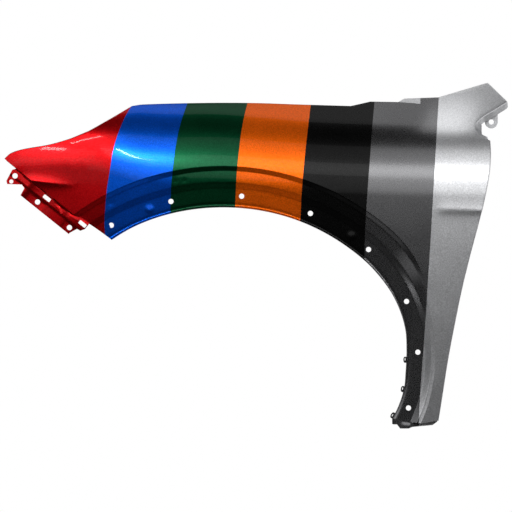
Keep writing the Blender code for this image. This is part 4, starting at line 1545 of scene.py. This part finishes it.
@dataclass
class FenderPanel:
    """The finished panel: the pressed sheet with its thickness, holes and paint."""

    press: Pressing = field(default_factory=Pressing)
    bands: PaintBands = PaintBands()
    sheet: float = 0.8
    mount_x: float = -20.0
    smooth_angle: float = 35.0
    inset: float = 0.00002

    def build(self) -> bpy.types.Object:
        """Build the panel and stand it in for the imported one.

        Returns:
            The panel.
        """
        press = self.press
        sheet = press.build()
        self.bands.divide(sheet)
        self.bands.paint(sheet)
        cuts = Piercing(press).build()
        self.bands.paint(cuts)
        underside = press.folds.flange_height - self.sheet
        mount = Vector((self.mount_x, along(press.flange_line, self.mount_x), underside))
        panel = self.to_object("fender_skin", sheet, mount)
        cutter = self.to_object("pierce_and_trim", cuts, mount)
        for finish in self.bands.paints:
            material = finish.material()
            panel.data.materials.append(material)
            cutter.data.materials.append(material)
        self.finish(panel, cutter)
        self.settle(panel)
        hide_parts(NODE)
        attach(panel, "root")
        LOG.info("fender skin: %d faces", len(panel.data.polygons))
        return panel

    @staticmethod
    def to_object(name: str, mesh: bmesh.types.BMesh, mount: Vector) -> bpy.types.Object:
        """Object in metres from a mesh in millimetres, placed with the mount point at the origin.

        Args:
            name: Name of the object.
            mesh: The mesh, which is used up.
            mount: Mount point, in millimetres from the wheel centre.

        Returns:
            The object.
        """
        bmesh.ops.translate(mesh, verts=mesh.verts, vec=-mount)
        bmesh.ops.scale(mesh, verts=mesh.verts, vec=Vector((MM, MM, MM)))
        return add_object(name, mesh)

    def finish(self, panel: bpy.types.Object, cutter: bpy.types.Object) -> None:
        """Give the sheet its thickness, pierce and trim it, and keep the result as a plain mesh.

        Args:
            panel: The open surface, which becomes the sheet.
            cutter: Solids that are taken out of it.
        """
        thickness = panel.modifiers.new("sheet", "SOLIDIFY")
        thickness.thickness = self.sheet * MM
        thickness.offset = -1.0
        thickness.use_even_offset = True
        pierce = panel.modifiers.new("pierce_and_trim", "BOOLEAN")
        pierce.object = cutter
        pierce.operation = "DIFFERENCE"
        pierce.solver = "EXACT"
        graph = bpy.context.evaluated_depsgraph_get()
        data = bpy.data.meshes.new_from_object(panel.evaluated_get(graph), depsgraph=graph)
        panel.modifiers.clear()
        panel.data = data
        bpy.data.objects.remove(cutter)
        data.shade_smooth()
        data.set_sharp_from_angle(angle=math.radians(self.smooth_angle))

    def settle(self, panel: bpy.types.Object) -> None:
        """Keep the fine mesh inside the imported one's box, which its smoother curves may pass by a hair.

        Args:
            panel: The panel, which is changed.
        """
        low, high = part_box(NODE)
        for axis in range(3):
            values = [vert.co[axis] for vert in panel.data.vertices]
            own_low, own_high = min(values), max(values)
            new_low = max(own_low, low[axis] + self.inset)
            new_high = min(own_high, high[axis] - self.inset)
            scale = (new_high - new_low) / (own_high - own_low)
            for vert in panel.data.vertices:
                vert.co[axis] = new_low + (vert.co[axis] - own_low) * scale


# Studio

@dataclass(frozen=True)
class Softbox:
    """Rectangular lamp that faces the panel."""

    name: str
    place: tuple[float, float, float]
    target: tuple[float, float, float]
    width: float
    height: float
    radiance: float
    roll: float = 0.0

    def build(self) -> bpy.types.Object:
        """Build the lamp.

        Returns:
            The lamp.
        """
        data = bpy.data.lights.new(self.name, "AREA")
        data.shape = "RECTANGLE"
        data.size = self.width
        data.size_y = self.height
        data.energy = self.radiance * math.pi * self.width * self.height
        lamp = bpy.data.objects.new(self.name, data)
        lamp.location = self.place
        aim = Vector(self.target) - Vector(self.place)
        turn = Matrix.Rotation(math.radians(self.roll), 3, "Z")
        lamp.rotation_euler = (aim.to_track_quat("-Z", "Y").to_matrix() @ turn).to_euler()
        lamp.visible_camera = False
        bpy.context.scene.collection.objects.link(lamp)
        return lamp


@dataclass(frozen=True)
class Card:
    """Dark card that shades part of the studio from the panel's reflections."""

    name: str
    place: tuple[float, float, float]
    target: tuple[float, float, float]
    width: float
    height: float
    shade: float
    casts_shadow: bool = True

    def build(self) -> bpy.types.Object:
        """Build the card, unseen by the camera.

        Returns:
            The card.
        """
        card = add_plane(self.name, self.width, self.height)
        card.location = self.place
        aim = Vector(self.target) - Vector(self.place)
        card.rotation_euler = aim.to_track_quat("Z", "Y").to_euler()
        card.visible_camera = False
        card.visible_shadow = self.casts_shadow
        material = bpy.data.materials.new(self.name)
        tree = Tree(material)
        shader = tree.node("ShaderNodeBsdfPrincipled", None, {
            "Base Color": rgba((self.shade,) * 3), "Roughness": 1.0, "Specular IOR Level": 0.0})
        tree.node("ShaderNodeOutputMaterial", None, {"Surface": shader})
        card.data.materials.append(material)
        return card


@dataclass(frozen=True)
class Studio:
    """White studio: floor, surround, lamps, cards and camera."""

    floor_drop: float = 0.30
    floor_size: float = 6.0
    floor_shade: float = 0.92
    floor_glow: float = 0.85
    ambient: float = 0.25
    lamps: tuple[Softbox, ...] = (
        Softbox("key_lamp", (0.1, -2.5, 1.75), (0.05, -0.1, -0.1), 3.4, 1.05, 2.7),
        Softbox("fill_lamp", (0.1, -3.2, 0.6), (0.05, -0.1, -0.05), 3.6, 1.2, 0.55),
        Softbox("left_lamp", (-2.3, -1.9, 1.1), (-0.2, -0.1, -0.1), 1.4, 1.2, 1.1),
        Softbox("crease_lamp", (-1.81, -1.18, 1.11), (-0.355, -0.1, -0.12), 0.32, 0.18, 45.0),
        Softbox("left_fill_lamp", (-2.3, -2.0, 0.35), (-0.25, -0.1, -0.1), 1.6, 1.0, 0.6),
        Softbox("edge_lamp", (-0.15, -0.22, -0.84), (-0.10, -0.12, -0.18), 0.9, 0.06, 10.0),
        Softbox("back_lamp", (0.1, 1.3, 2.3), (0.05, 0.0, 0.0), 3.4, 0.8, 0.28),
        Softbox("horn_lamp", (0.483, 0.005, 0.226), (0.475, -0.08, -0.009), 0.10, 0.10, 1.3),
        Softbox("small_lamp", (-0.80, -1.76, 1.43), (-0.165, -0.13, -0.07), 0.46, 0.07, 110.0, 116.0),
        Softbox("strip_lamp", (-1.27, -1.0, 1.9), (-0.25, -0.1, -0.04), 0.85, 0.06, 50.0, 73.0),
    )
    cards: tuple[Card, ...] = (
        Card("ceiling_card", (0.0, 0.04, 1.9), (0.0, 0.04, -0.1), 6.0, 1.3, 0.01),
        Card("front_card", (0.0, -3.0, -0.5), (0.0, -0.1, -0.5), 8.0, 0.84, 0.02),
        Card("floor_card", (0.05, -1.2, -0.88), (0.05, -1.2, 0.0), 5.6, 3.6, 0.02, casts_shadow=False),
        Card("left_card", (-2.7, -0.9, -0.3), (0.0, -0.9, -0.3), 4.6, 1.3, 0.02),
        Card("rear_card", (0.0, 2.6, 1.4), (0.0, 0.0, 1.4), 8.0, 4.6, 0.02, casts_shadow=False),
    )
    lens: float = 1600.0
    sensor: float = 36.0
    picture_width: float = 1.024
    subject_y: float = -0.06
    centre: Pair = (0.0868, -0.2732)
    clip_share: float = 4.0

    def build(self) -> None:
        """Build everything around the panel."""
        self.build_floor()
        self.build_world()
        for item in self.lamps + self.cards:
            item.build()
            LOG.info("%s", item.name)
        self.build_camera()

    def build_floor(self) -> None:
        """Plain pale floor below the panel, white to the camera but for the panel's shadow."""
        low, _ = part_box(NODE)
        floor = add_plane("floor", self.floor_size, self.floor_size)
        floor.location = (0.0, 0.0, low.z - self.floor_drop)
        material = bpy.data.materials.new("floor")
        tree = Tree(material)
        lit = tree.node("ShaderNodeBsdfDiffuse", None, {"Color": rgba((self.floor_shade,) * 3)})
        glow = tree.node("ShaderNodeEmission", None, {"Color": WHITE, "Strength": 1.0})
        share = seen_rays(tree) * self.floor_glow
        seen = tree.node("ShaderNodeMixShader", None, {0: share, 1: lit, 2: glow})
        tree.node("ShaderNodeOutputMaterial", None, {"Surface": seen})
        floor.data.materials.append(material)
        LOG.info("floor")

    def build_world(self) -> None:
        """White surround, seen so by the camera and in reflections, and a softer light for the rest."""
        world = bpy.data.worlds.new("studio")
        tree = Tree(world)
        soft = tree.node("ShaderNodeBackground", None, {"Color": WHITE, "Strength": self.ambient})
        white = tree.node("ShaderNodeBackground", None, {"Color": WHITE, "Strength": 1.0})
        surround = tree.node("ShaderNodeMixShader", None, {0: seen_rays(tree), 1: soft, 2: white})
        tree.node("ShaderNodeOutputWorld", None, {"Surface": surround})
        bpy.context.scene.world = world
        LOG.info("surround")

    def build_camera(self) -> None:
        """Level camera square to the side of the car, far off behind a long lens."""
        data = bpy.data.cameras.new("camera")
        data.lens = self.lens
        data.sensor_width = self.sensor
        distance = self.picture_width * self.lens / self.sensor
        data.clip_end = distance * self.clip_share
        camera = bpy.data.objects.new("camera", data)
        camera.location = (self.centre[0], self.subject_y - distance, self.centre[1])
        camera.rotation_euler = (math.pi / 2, 0.0, 0.0)
        bpy.context.scene.collection.objects.link(camera)
        bpy.context.scene.camera = camera
        bpy.context.scene.view_settings.view_transform = "Standard"
        LOG.info("camera")


def main() -> None:
    """Build the panel, then the studio around it."""
    logging.basicConfig(level=logging.INFO, format="%(name)s: %(message)s")
    FenderPanel().build()
    Studio().build()


if __name__ == "__main__":
    main()
